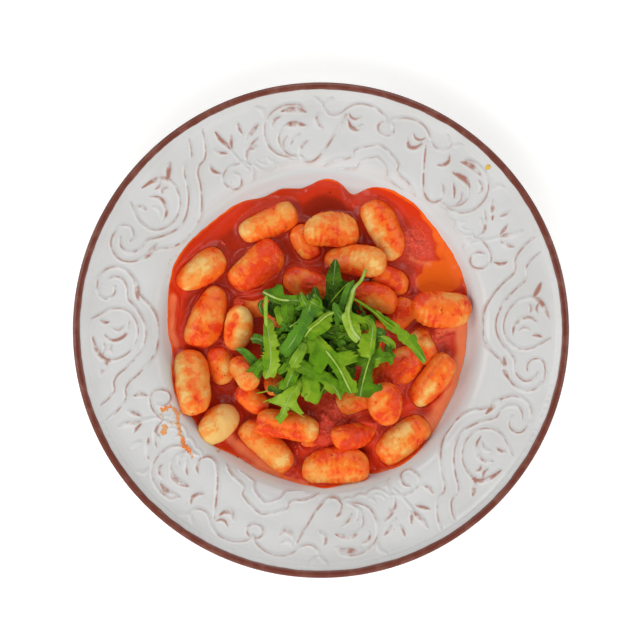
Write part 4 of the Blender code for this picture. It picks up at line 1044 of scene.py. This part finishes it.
# A blade: its rib's points in mm, the form and greatest half width in mm of its left and right sides,
# its tone from 0, dark, to 1, pale, how steeply its halves rise, and how far its lobes lean to the
# tip. The great leaves on top have their own sides: half widths in mm by share of the length.
BLADES = [
    # The six core blades are dark sheets under the heap: painted shade for its inside, which also hides the
    # sauce.
    ("core_low_west", [(-32, -12, 27), (-20, -9, 30), (-7, -6, 31)], ("slab", 6.5), ("slab", 6.5), .08, .3,
     .3),
    ("core_low_south", [(-12, -34, 26), (-5, -24, 30), (2, -13, 32)], ("slab", 7), ("slab", 6.5), .10, .3,
     .3),
    ("core_low_east", [(31, -12, 28), (19, -9, 31), (6, -7, 32)], ("slab", 7.5), ("slab", 7), .06, .3, .3),
    ("core_low_north", [(-5, 15, 28), (1, 7, 31), (5, -3, 33)], ("slab", 7), ("slab", 7.5), .06, .3, .3),
    ("core_north_west", [(-28, 16, 27), (-20, 9, 30), (-12, 2, 32)], ("slab", 5.5), ("slab", 6), .10, .3, .3),
    ("core_north_east", [(17, 16, 29), (13, 7, 31), (8, -2, 33)], ("slab", 5.5), ("slab", 5.5), .10, .3, .3),
    ("dark_centre", [(-2, -3, 35), (5, -2.5, 37), (11.5, -3, 37.5), (17.5, -6, 36)], ("tongue", 3.3),
     ("tongue", 3.3), .52, -.3, .2),
    ("dark_under_centre", [(0, -9.5, 34), (7, -8, 36), (15, -9.5, 36), (24.5, -11, 34)], ("tongue", 3.3),
     ("two lobes", 4.9), .14, .2, .3),
    ("dark_west_inner", [(-18.5, -1, 33), (-20.5, -7, 35), (-20.5, -15, 35), (-23, -22, 32)],
     ("two lobes", 4.4), ("tongue", 3.8), .22, .3, .3),
    ("dark_spike", [(-1, 11, 33), (-2.5, 17, 34.5), (-3.5, 23, 33)], ("spear", 2.5), ("spear", 2.5), .24,
     .2, 0),
    ("upright_lobe", [(6.5, 11.5, 30), (6.5, 19, 33), (7, 28, 35), (8, 38, 34.5)], ("spear", 4),
     ("spear", 4.2), .23, .4, 0),
    ("upright_body", [(0, 7.5, 31), (5, 14, 33), (10, 20, 34), (15.5, 25.5, 33)], ("tongue", 4.9),
     ("tongue", 5.1), .15, .3, .1),
    ("upright_east", [(12, 6, 33), (12.5, 13, 35), (14.5, 20, 36.5), (18, 26.5, 36)], ("spear", 2.6),
     ("spear", 2.7), .42, .4, 0),
    ("blue_lobe", [(13.5, 1.5, 36), (11, 5.5, 38), (8, 9.5, 38.5), (7, 14, 37)], ("early lobe", 3.8),
     ("tongue", 2.7), .50, .3, .2),
    ("curl_lobe", [(-32, 16, 33), (-33.5, 13, 33.5), (-32.5, 9.5, 33), (-30, 6.5, 32)], ("tongue", 1.5),
     ("tongue", 0.9), .42, .4, 0),
    ("curl", [(-31.5, 20, 36), (-27, 17.5, 39), (-22, 15.5, 40.5), (-17, 15, 40), (-11.5, 15, 39),
              (-7, 12, 38)],
     [(0, 1), (.08, 3.3), (.2, 5.5), (.32, 7.5), (.42, 7), (.5, 4.5), (.62, 3), (.8, 2.7), (1, 1)],
     ("tongue", 2.7), .50, -.5, -.2),
    ("left_blade", [(-18, 15.5, 38.5), (-18, 10.5, 40.5), (-17.5, 6, 40.5), (-16.5, 1.5, 38)], ("spear", 3.2),
     ("spear", 3.4), .47, -.4, 0),
    ("left_small_lobe", [(-24, 12, 37.5), (-22, 7, 39), (-20, 1, 37)], ("tongue", 2.4), ("tongue", 2.9),
     .72, .3, .1),
    ("broad_pale", [(-29.5, 5, 36), (-28.5, -2, 39.5), (-27.5, -9, 41), (-27, -16, 40), (-28, -22, 37),
                    (-30.5, -27, 33)], ("tongue", 4.6),
     [(0, 1.2), (.2, 2.6), (.45, 3.5), (.5, 1.5), (.56, 3), (.66, 5), (.74, 3.3), (.9, 2.4), (1, .5)],
     .80, .4, -.1),
    ("west_lobe", [(-27, -7.5, 35), (-31, -7, 35.5), (-35, -5.5, 34), (-38, -5.5, 31.5)], ("tongue", 2.4),
     ("tongue", 2.7), .40, .4, 0),
    ("far_west", [(-31.5, -24, 31), (-35, -19.5, 32.5), (-38.5, -15.5, 33), (-42.5, -12, 32.5),
                  (-46.5, -11, 31)],
     ("spear", 2.5), ("spear", 2.2), .50, .4, 0),
    ("south_west_leaf", [(-30, -15.5, 35), (-33, -19.5, 36), (-36, -23, 35), (-37.5, -27, 33),
                         (-38.5, -30.5, 30.5)], ("two lobes", 4.5), ("late lobe", 5.6), .52, .3, .3),
    ("strap", [(-5.5, 17, 37.5), (-6, 11.5, 40.5), (-8, 5, 42.5), (-12, -2, 43), (-16, -8.5, 42),
               (-20.5, -14, 39)],
     [(0, 1), (.1, 2.7), (.22, 7.4), (.3, 4.4), (.45, 3.8), (.7, 4), (.9, 3.3), (1, 1)],
     [(0, 1), (.06, 4.6), (.12, 2.7), (.3, 3.6), (.55, 3.9), (.8, 3.8), (1, 1)], .55, .25, .3),
    ("strap_top_west", [(-6.5, 9, 38.5), (-8.5, 13, 40), (-10.5, 17, 40), (-11, 19.5, 38.5)], ("spear", 2.1),
     ("spear", 2.1), .60, .3, 0),
    ("strap_top_mid", [(-5, 10, 38), (-6.5, 14.5, 39), (-7.5, 18.5, 38)], ("spear", 2.1), ("spear", 2.1),
     .36, .3, 0),
    ("strap_top_east", [(-1.5, 6.5, 38.5), (-2.5, 12.5, 40), (-4, 18.5, 38.5)], ("spear", 2.3),
     ("spear", 3.5), .52, .3, 0),
    ("strap_east_lobe", [(-6, 14.5, 39.5), (-1.5, 12, 40.5), (2, 8.5, 38.5)], ("spear", 2.4), ("spear", 2.1),
     .56, .3, 0),
    ("inner_lime", [(-1.5, 4, 38), (-5, -2, 40), (-7, -8, 40.5), (-8.5, -13.5, 38.5)], ("tongue", 4),
     ("tongue", 3.5), .62, .3, .2),
    ("pale_stem_leaf", [(7, 8.5, 42), (3, 6.5, 43), (-1, 3, 43.5), (-5.5, -.5, 43), (-9, -5, 41.5)],
     [(0, .4), (.1, 1.6), (.2, 4.1), (.3, 2.7), (.42, 6.3), (.5, 2.7), (.65, 1.6), (1, .5)],
     ("tongue", 1.8), .78, .2, 0),
    ("yellow_lobe", [(2.5, 4, 40.5), (0, 7, 41.5), (-3, 10, 40)], ("spear", 1.9), ("spear", 1.9), .70, .2, 0),
    ("centre", [(-6.5, -1.5, 39), (-1.5, -7, 41.5), (2.5, -12, 42.5), (6.5, -17, 42.5), (10.5, -23, 41),
                (13.5, -29, 39), (16.5, -35, 36)],
     [(0, 2.2), (.15, 2.7), (.3, 3.3), (.4, 6.5), (.46, 12), (.52, 11.5), (.58, 7), (.66, 3.3), (.74, 3.5),
      (.82, 5.2), (.92, 4.4), (1, .3)],
     [(0, 4.4), (.15, 8.2), (.28, 12), (.38, 11), (.46, 7.6), (.56, 3.3), (.66, 3.3), (.78, 3.8), (.9, 2.7),
      (1, .3)], .65, .15, .45),
    ("centre_under", [(-16.5, -17.5, 37), (-9.5, -21.5, 39.5), (-2.5, -26, 40), (4, -29.5, 38.5),
                      (8.5, -33.5, 36), (10.5, -38.5, 33)], ("tongue", 4.6), ("two lobes", 3.5), .62, .35,
     .1),
    ("fold_pale", [(-9, -8, 41), (-11, -13, 43), (-13.5, -17.5, 42.5), (-16, -21.5, 40)], ("tongue", 3),
     ("tongue", 3.1), .82, .5, 0),
    ("left_inner_bright", [(-17.5, -7.5, 38), (-15.5, -13, 39.5), (-14.5, -18.5, 39), (-14.5, -23, 36)],
     ("tongue", 3.1), ("tongue", 2.8), .50, .3, 0),
    ("south_strap", [(-12, -20.5, 38), (-15.5, -25, 38.5), (-18, -30, 37.5), (-19, -35.5, 35.5)],
     ("tongue", 3.7), ("two lobes", 4.1), .56, .3, .1),
    ("south_pale_mid", [(-8.5, -24, 38), (-7, -29, 39), (-6, -34, 37.5), (-8, -39, 34.5)], ("tongue", 6.3),
     ("tongue", 3.7), .70, .3, .1),
    ("south_tip", [(-10, -26.5, 36.5), (-13, -32, 37.5), (-16.5, -36.5, 37), (-19, -41.5, 35),
                   (-21, -46.5, 32),
                   (-25.5, -51.5, 28.5)],
     [(0, 1), (.15, 2.2), (.3, 3.8), (.42, 7.6), (.5, 10.4), (.56, 4.4), (.64, 2.4), (.8, 2.7), (.93, 2.2),
      (1, .4)],
     [(0, 1), (.2, 2.7), (.34, 3.8), (.46, 6.5), (.54, 8.2), (.6, 2.7), (.7, 1.7), (.88, 1.9), (1, .4)],
     .80, .3, .25),
    ("east_strap", [(25, 7, 37.5), (28, 0.5, 39), (27.5, -5.5, 40), (27, -10.5, 39), (26.5, -17, 36.5)],
     ("tongue", 2.2), [(0, 2), (.25, 2.2), (.42, 3.8), (.52, 6.5), (.62, 3.8), (.8, 2.2), (1, .5)], .74,
     .3, 0),
    ("east_broad", [(28.5, -11.5, 35), (26, -18, 36.5), (24, -24.5, 36), (22.5, -30.5, 34),
                    (21.5, -36.5, 30.5)],
     [(0, 1.6), (.25, 3.3), (.42, 3.8), (.55, 4.4), (.68, 7.6), (.8, 9.8), (.92, 8.2), (1, 2.2)],
     [(0, 5), (.15, 6.5), (.25, 5), (.36, 2.5), (.46, 2.5), (.6, 6.5), (.75, 5.5), (.9, 5), (1, 2.2)], .40,
     .25, .1),
    ("east_tail", [(31.5, -30, 33), (32, -34.5, 32), (30, -39, 30.5), (29.5, -42, 29.5)], ("spear", 1.3),
     ("spear", 1.0), .46, .1, 0),
    ("east_lobes", [(26.5, -17, 34.5), (31, -16.5, 36), (35.5, -15.5, 35.5), (40.5, -14.5, 32.5)],
     ("early lobe", 6), ("two lobes", 4.3), .55, .3, 0),
    ("east_dark_lobe", [(37, -17, 33), (37, -12, 34.5), (36, -8, 34)], ("spear", 2.5), ("spear", 2.3), .34,
     .3, 0),
    ("east_pale_lobe", [(31, -5, 35), (35, -5.5, 35.5), (38, -7.5, 34), (40.5, -10.5, 31)], ("tongue", 1.7),
     ("tongue", 2.3), .82, .4, 0),
    ("east_grey", [(28, -1.5, 34), (31.5, -2, 35), (35, -4, 33.5)], ("tongue", 2.7), ("tongue", 4.9), .36,
     .3, 0),
    ("long_leaf", [(17.5, 16.5, 36), (27, 10.5, 36.5), (35.5, 3.5, 35.5), (40.5, 0, 35), (45, -3.5, 34.5),
                   (49.5, -8, 33.5), (53.5, -13, 32), (57, -18, 29.5)],
     [(0, .5), (.15, .7), (.25, 1.2), (.33, 2), (.38, 1.5), (.43, 2.5), (.58, 2.6), (.62, 3.7), (.66, 2.8),
      (.7, 4.7), (.74, 3.1), (.92, 2.1), (1, .3)],
     [(0, .5), (.25, 1), (.42, 2), (.48, 2.6), (.54, 2.1), (.66, 3.6), (.72, 2.7), (.92, 2.1), (1, .3)],
     .72, .2, .15),
    ("long_leaf_side", [(21, 14.5, 35), (22, 10.5, 34), (24.5, 9, 33)], ("tongue", .5), ("tongue", .5),
     .60, 0, 0),
    ("lime", [(24.5, 32.5, 33), (22, 26.5, 35.5), (18, 21.5, 38), (16.5, 16, 40), (15, 10, 42), (15.5, 4, 43),
              (17.5, -1.5, 42), (21.5, -6, 39)],
     [(0, .9), (.12, .9), (.15, 3.4), (.17, 1.1), (.4, 1.2), (.44, 3), (.47, 1.6), (.54, 2.7), (.64, 10.4),
      (.7, 11.4), (.74, 5), (.82, 4), (.92, 2.7), (1, .3)],
     [(0, .9), (.2, .9), (.45, 1.2), (.6, 1.9), (.75, 3.5), (.86, 3.3), (.95, 1.9), (1, .3)], .89, .15, .35),
]
# The thick ribs on some blades: the first of the rib's points and the one after the last, its radius
# in mm and its tone.
RIBS = {
    "lime": (0, 8, 0.80, 1.08), "curl": (0, 4, 0.60, 1.10), "long_leaf": (0, 4, 0.50, 0.82),
    "centre": (2, 7, 0.50, 1.10), "pale_stem_leaf": (0, 5, 0.50, 1.05), "upright_body": (1, 4, 0.35, 0.9),
    "east_broad": (0, 4, 0.40, 1.0),
}
RIB_LIFT_MM = 0.7
OFF_ANY_RIB = 9.0          # stored on ribs and stalks, so that no pale rib or vein is drawn on them
# And the loose stalks: points in mm, radius in mm and tone.
STALKS = [
    ([(-29.5, 18, 38), (-30, 11, 38.5), (-29.5, 1, 38.5)], 1.15, 0.97),
    ([(-19.5, -27, 34), (-24.5, -31, 32), (-30, -34, 30.5), (-35.5, -35, 29.5)], 0.40, 0.90),
    ([(-16, -31, 35), (-21, -35, 32.5), (-26.5, -38, 30.5), (-32, -40, 29.5)], 0.40, 0.86),
    ([(4, -29, 35), (0, -34.5, 33.5), (-4, -40, 31)], 0.45, 0.97),
    ([(-17, 0.5, 41), (-14, 2.5, 42), (-11, 4, 42.5)], 0.40, 1.00),
]
FILL_COUNT = 64            # leaves under the named ones, and where they lie in mm
FILL_MIDDLE = (-3.0, -9.0)
FILL_REACH = 21.5
LEAF_TONES = (
    (0.00, (0.011, 0.030, 0.001, 1)), (0.20, (0.036, 0.088, 0.002, 1)),
    (0.40, (0.070, 0.158, 0.005, 1)), (0.58, (0.110, 0.264, 0.006, 1)),
    (0.78, (0.208, 0.350, 0.013, 1)), (1.00, (0.335, 0.510, 0.055, 1)),
    (1.25, (0.560, 0.680, 0.300, 1)),
)
RIB_PALE = (0.50, 0.64, 0.26, 1)
LEAF_COOL = (0.075, 0.260, 0.035, 1)
COOL = {                   # the blades of a bluer green, and how much bluer
    "strap": 0.8, "strap_top_mid": 0.9, "upright_east": 0.6, "blue_lobe": 0.7, "long_leaf": 0.1,
    "far_west": 0.7, "west_lobe": 0.6, "east_grey": 0.8, "curl": 0.2, "fold_pale": 0.4, "east_tail": 0.5,
}
# Small torn leaflets that fill the gaps between the blades: x, y, height and reach in mm, how many.
LEAFLETS = [
    (-20, -6, 37.5, 6, 9), (-19, -17, 36.5, 5, 6), (-16, 9, 37.5, 5, 6), (-8, 12, 38.5, 4, 4),
    (6, 1, 38, 5, 6),
    (13, -9, 36.5, 6, 8), (21, -12, 36, 4, 4), (-12, -28, 36, 6, 6), (-20, -30, 34, 4, 3),
    (-32, -19, 34, 4, 3),
    (31, -8, 35, 5, 5), (24, 3, 36.5, 3, 3), (2, -22, 38, 5, 3),
]


def shares_along(line):
    """How far each point of a line lies along it, from 0 to 1, and the line's length."""
    steps = np.linalg.norm(np.diff(line, axis=0), axis=1)
    run = np.concatenate([[0], np.cumsum(steps)])
    return run / run[-1], run[-1]


def at_shares(line, t):
    """The points at these shares of a line's length."""
    run, _ = shares_along(line)
    return np.stack([np.interp(t, run, line[:, k]) for k in range(line.shape[1])], 1)


def frame_at(line, t):
    """The points at these shares of a line, and the line's way, left side and upper side there."""
    ahead, behind = at_shares(line, np.minimum(t + 0.02, 1)), at_shares(line, np.maximum(t - 0.02, 0))
    way = (ahead - behind) / np.linalg.norm(ahead - behind, axis=1)[:, None]
    side = np.cross((0, 0, 1), way)
    side /= np.linalg.norm(side, axis=1)[:, None]
    return at_shares(line, t), way, side, np.cross(way, side)


def side_widths(side):
    """A side's half widths in mm by share of the length, which it has outright or from its form."""
    if isinstance(side, list):
        return side
    form, widest = side
    return [(t, share * widest) for t, share in FORMS[form]]


def add_blade(whole, rib_points, left, right, tone, fold, sweep, seed, rows, columns, cool=0.0):
    """Adds a leaf's blade to a bmesh. left and right are its half widths by share of the length, and
    the rest is as in BLADES."""
    line = smooth_through(rib_points, 10)
    length = shares_along(line)[1]
    bm = bmesh.new()
    layers = [bm.verts.layers.float.new(name) for name in ("tone", "off_rib", "along", "cool")]
    bmesh.ops.create_grid(bm, x_segments=columns, y_segments=rows, size=1.0)
    flat = np.array([v.co[:2] for v in bm.verts])
    v, t = flat[:, 0], (flat[:, 1] + 1) / 2
    rib_there, way, side, up = frame_at(line, t)

    def uneven(pitch_mm, across, more):
        return rough(np.stack([t * length / pitch_mm, across, 0 * t], 1), 1.0, seed + more)

    widths = [smooth_through(pairs, 6) for pairs in (left, right)]
    width = np.where(v > 0, *[np.interp(t, w[:, 0], np.maximum(w[:, 1], 0.15)) for w in widths])
    jitter = uneven(7, 3 * np.sign(v), 200)
    strong = uneven(4.5, 5 * np.sign(v), 300)
    teeth = 1 - (t * length / TOOTH_PITCH_MM + 2.6 * jitter + 0.37 * seed) % 1.0
    teeth = (teeth - 0.5) * np.clip(0.05 + 2.2 * strong, 0, 1.7)
    width *= 1 + (TOOTH_SHARE * teeth + 0.20 * jitter) * np.clip((width - 1) / 2, 0, 1)
    off = np.abs(v) * np.maximum(width, 0.12)
    wave = uneven(3.6, np.sign(v), 0)
    lift = fold * 0.45 * off - 0.022 * off ** 2 + RIPPLE_MM * wave * v ** 2 * np.minimum(off / 2, 1)
    lift += CRINKLE_MM * uneven(2.4, v * width / 2.4, 400)
    co = rib_there + side * (np.sign(v) * off)[:, None]
    co += way * (sweep * off)[:, None] + up * lift[:, None]
    # One half of each blade is painted darker than the other: painted shade for its fold. The jitter varies
    # the tone at random and partly paints shading as well.
    tones = tone + 0.07 * math.cos(seed * 2.1) * np.sign(v) + 0.22 * jitter
    # Painted shade: blades low down near the middle of the heap are darkened.
    inside = eased(FILL_REACH - np.hypot(co[:, 0] - FILL_MIDDLE[0], co[:, 1] - FILL_MIDDLE[1]), 0, 9)
    tones -= 0.22 * inside * eased(39 - co[:, 2], 0, 8)
    for vert, place_mm, shade_there, far, run in zip(bm.verts, co, tones, off, t * length):
        vert.co = place_mm * MM
        vert[layers[0]], vert[layers[1]] = shade_there, far + (0.35 if rows == FILL_ROWS else 0)
        vert[layers[2]], vert[layers[3]] = run, cool
    bmesh.ops.recalc_face_normals(bm, faces=bm.faces[:])
    bmesh.ops.solidify(bm, geom=bm.faces[:], thickness=LEAF_THICK)
    pour(bm, whole)


def add_tube(whole, points, radius, tone, around=8):
    """Adds a thin round stalk, closed at both ends, to a bmesh."""
    line = smooth_through(points, 8)
    bm = bmesh.new()
    layers = [bm.verts.layers.float.new(name) for name in ("tone", "off_rib", "along")]
    bmesh.ops.create_grid(bm, x_segments=around, y_segments=len(line) - 1, size=1.0)
    flat = np.array([v.co[:2] for v in bm.verts])
    turn, t = flat[:, 0] * math.pi, (flat[:, 1] + 1) / 2
    middle, _, side, up = frame_at(line, t)
    thick = radius * np.clip(np.minimum(t, 1 - t) * 8 + 0.4, 0, 1)
    co = middle + (side * np.cos(turn)[:, None] + up * np.sin(turn)[:, None]) * thick[:, None]
    for vert, place_mm in zip(bm.verts, co):
        vert.co = place_mm * MM
        vert[layers[0]], vert[layers[1]], vert[layers[2]] = tone, OFF_ANY_RIB, 0.0
    bmesh.ops.remove_doubles(bm, verts=bm.verts[:], dist=1e-6)
    bmesh.ops.holes_fill(bm, edges=bm.edges[:], sides=around)
    pour(bm, whole)


blades_bm, under_bm, stalks_bm = bmesh.new(), bmesh.new(), bmesh.new()
for seed, (name, rib_points, left, right, tone, fold, sweep) in enumerate(BLADES):
    add_blade(blades_bm, rib_points, side_widths(left), side_widths(right), tone, fold, sweep, seed,
              LEAF_ROWS, LEAF_COLUMNS, COOL.get(name, 0.0))
    if name in RIBS:
        first, last, radius, rib_tone = RIBS[name]
        raised = [(x, y, z + RIB_LIFT_MM) for x, y, z in rib_points[first:last]]
        add_tube(stalks_bm, raised, radius, rib_tone)
chance = random.Random(11)
for seed in range(FILL_COUNT):
    way = chance.uniform(0, math.tau)
    reach = FILL_REACH * math.sqrt(chance.uniform(0.0, 0.85))
    high = 36.5 - 9.0 * (reach / FILL_REACH) ** 2 - chance.uniform(0, 6)
    middle = Vector((FILL_MIDDLE[0] + reach * math.cos(way), FILL_MIDDLE[1] + reach * math.sin(way), high))
    turn = chance.uniform(0, math.tau)
    run = Vector((math.cos(turn), math.sin(turn), 0)) * chance.uniform(7, 11)
    lift = Vector((0, 0, chance.uniform(1.0, 3.0)))
    rib_points = [tuple(middle - run), tuple(middle + lift), tuple(middle + run)]
    big = chance.uniform(2.2, 4.6)
    lobes = [(0, 1), (0.2, big), (0.35, big * 0.45), (0.55, big * 1.1), (0.7, big * 0.5), (0.85, big * 0.7),
             (1, 0.4)]
    fold, sweep = chance.uniform(-0.6, 0.8), chance.uniform(0.1, 0.5)
    # The fill leaves' dark tones are partly their own and partly painted shade, as they lie under the others.
    dark = chance.uniform(0.08, 0.56)
    add_blade(under_bm, rib_points, lobes, lobes, dark, fold, sweep, 60 + seed, FILL_ROWS, FILL_COLUMNS)
for at_x, at_y, high, reach, count in LEAFLETS:
    for seed in range(count):
        middle = Vector((at_x + chance.uniform(-reach, reach), at_y + chance.uniform(-reach, reach), high))
        turn = chance.uniform(0, math.tau)
        run = Vector((math.cos(turn), math.sin(turn), chance.uniform(-0.3, 0.3))) * chance.uniform(3.0, 5.5)
        bow = run.cross(Vector((0, 0, chance.uniform(-0.4, 0.4)))) + Vector((0, 0, 0.6))
        rib_points = [tuple(middle - run), tuple(middle + bow), tuple(middle + run)]
        big = chance.uniform(1.2, 2.4)
        lobes = [[(0, 0.4), (0.25, big * chance.uniform(0.4, 1)), (0.5, big), (0.62, big * 0.45),
                  (0.78, big * chance.uniform(0.6, 1.2)), (1, 0.2)] for _ in range(2)]
        shade = chance.uniform(0.22, 0.66)
        add_blade(under_bm, rib_points, *lobes, shade, chance.uniform(-0.5, 0.8), chance.uniform(0, 0.5),
                  150 + round(at_x * 7) + seed, FILL_ROWS, FILL_COLUMNS, chance.choice((0, 0, 0.4, 0.8)))
for points, radius, tone in STALKS:
    add_tube(stalks_bm, points, radius, tone)
blades = mesh_from(blades_bm, "rocket_blades")
under = mesh_from(under_bm, "rocket_under")
stalks = mesh_from(stalks_bm, "rocket_stalks")

green, tree, shader = new_material("rocket_leaf_green")
place = object_place(tree)
# The mottle varies the leaves' tone at random and also paints the light and shade of their folds.
mottle_and_painted_shade = clouds(tree, place, 170, 3.0, 0.6)
fine = clouds(tree, place, 900, 2.0)
tone = maths(tree, "MULTIPLY_ADD", mottle_and_painted_shade, 0.52, read(tree, "tone"))
tone = maths(tree, "MULTIPLY_ADD", fine, 0.12, tone)
tone = maths(tree, "SUBTRACT", tone, 0.33)
off_rib, along = read(tree, "off_rib"), read(tree, "along")
slant = maths(tree, "MULTIPLY_ADD", off_rib, -0.9, along)
slant = maths(tree, "MULTIPLY_ADD", clouds(tree, place, 300, 1.0), 1.6, slant)
saw = maths(tree, "PINGPONG", slant, 1.35)
vein = maths(tree, "SUBTRACT", 1.0, ramp_between(tree, saw, 0.0, 0.24))
vein = maths(tree, "MULTIPLY", vein, ramp_between(tree, off_rib, 6.0, 1.0))
rib = maths(tree, "SUBTRACT", 1.0, ramp_between(tree, off_rib, 0.12, 0.46))
rib = maths(tree, "MULTIPLY", rib, ramp_between(tree, clouds(tree, place, 60, 1.0), 0.42, 0.60))
colour = LEAF_TONES[0][1]
for (low, _), (high, tint) in zip(LEAF_TONES, LEAF_TONES[1:]):
    colour = blended(tree, ramp_between(tree, tone, low, high), colour, tint)
colour = blended(tree, maths(tree, "MULTIPLY", read(tree, "cool"), 0.46), colour, LEAF_COOL)
colour = blended(tree, maths(tree, "MULTIPLY", vein, 0.16), colour, RIB_PALE)
colour = blended(tree, maths(tree, "MULTIPLY", rib, 0.50), colour, RIB_PALE)
relief = maths(tree, "MULTIPLY_ADD", rib, 0.9, maths(tree, "MULTIPLY", vein, -0.6))
relief = maths(tree, "MULTIPLY_ADD", fine, 0.5, relief)
plug(tree, shader.inputs, {
    "Base Color": colour, "Roughness": maths(tree, "MULTIPLY_ADD", mottle_and_painted_shade, 0.20, 0.34),
    "Specular IOR Level": 0.10, "Normal": bumpy(tree, relief, 0.60, 0.0005),
})
for piece in (blades, under, stalks):
    piece.data.materials.append(green)
    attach(piece, "root")
    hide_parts("rocket_heap")


# ================================================================ the table and the light
# A plain pale table top under one large soft lamp and a pale room. The camera looks almost straight
# down on the plate, from the diner's side.

CAMERA_TILT = math.radians(3.0)
CAMERA_DISTANCE = 1.10
LOOKS_AT = Vector((-0.0005, 0.0046, PLATE_HEIGHT))
HALF_VIEW = 0.1739         # how much of the plate's plane is in view, from its middle
TABLE_WHITE = (0.90, 0.90, 0.89, 1)
TABLE_GLOW = 0.35
ROOM_WHITE = (1.0, 1.0, 1.0, 1)
ROOM_ABOVE = (0.16, 0.16, 0.16, 1)
ROOM_STRENGTH = 0.40

floor_bm = bmesh.new()
bmesh.ops.create_grid(floor_bm, x_segments=1, y_segments=1, size=3.0)
floor = mesh_from(floor_bm, "table_top")
cloth, tree, shader = new_material("pale_table")
plug(tree, shader.inputs, {
    "Base Color": TABLE_WHITE, "Roughness": 0.8, "Emission Color": (1.0, 1.0, 1.0, 1),
    "Emission Strength": TABLE_GLOW,
})
floor.data.materials.append(cloth)

world = bpy.data.worlds.new("pale_room")
bpy.context.scene.world = world
world.use_nodes = True
tree = world.node_tree
ray = node(tree, "ShaderNodeTexCoord").outputs["Generated"]
height = node(tree, "ShaderNodeSeparateXYZ", {0: ray}).outputs[2]
sky = blended(tree, ramp_between(tree, height, 0.80, 0.96), ROOM_WHITE, ROOM_ABOVE)
plug(tree, tree.nodes["Background"].inputs, {"Color": sky, "Strength": ROOM_STRENGTH})
# Each lamp's place, size in metres, power in watts, colour, and whether shiny things mirror it.
for name, spot, size, power, colour, glossy in (
    ("ceiling", (-0.22, -2.10, 2.05), 2.64, 64.9, (1.0, 0.99, 0.97), False),
    ("north_window", (0.15, 1.05, 0.72), 0.8, 2.9, (1.0, 1.0, 1.0), True),
    ("west_window", (-1.10, 0.15, 0.72), 0.8, 4.0, (1.0, 1.0, 1.0), True),
    ("east_window", (1.10, 0.15, 0.72), 0.8, 2.5, (1.0, 1.0, 1.0), True),
    ("glint", (-0.45, 0.55, 0.95), 0.22, 0.5, (1.0, 1.0, 1.0), True),
):
    lamp = bpy.data.lights.new(name, "AREA")
    lamp.size = size
    lamp.energy = power
    lamp.color = colour
    holder = in_scene(name, lamp)
    holder.visible_glossy = glossy
    holder.visible_diffuse = name != "glint"
    holder.location = spot
    holder.rotation_euler = (LOOKS_AT - Vector(spot)).to_track_quat("-Z", "Y").to_euler()

camera = bpy.data.cameras.new("overhead")
camera.sensor_width = 36.0
camera.lens = 18.0 * CAMERA_DISTANCE / HALF_VIEW
holder = in_scene("overhead", camera)
away = Vector((0, -math.sin(CAMERA_TILT), math.cos(CAMERA_TILT))) * CAMERA_DISTANCE
holder.location = LOOKS_AT + away
holder.rotation_euler = (CAMERA_TILT, 0, 0)
bpy.context.scene.camera = holder
bpy.context.scene.view_settings.view_transform = "Standard"
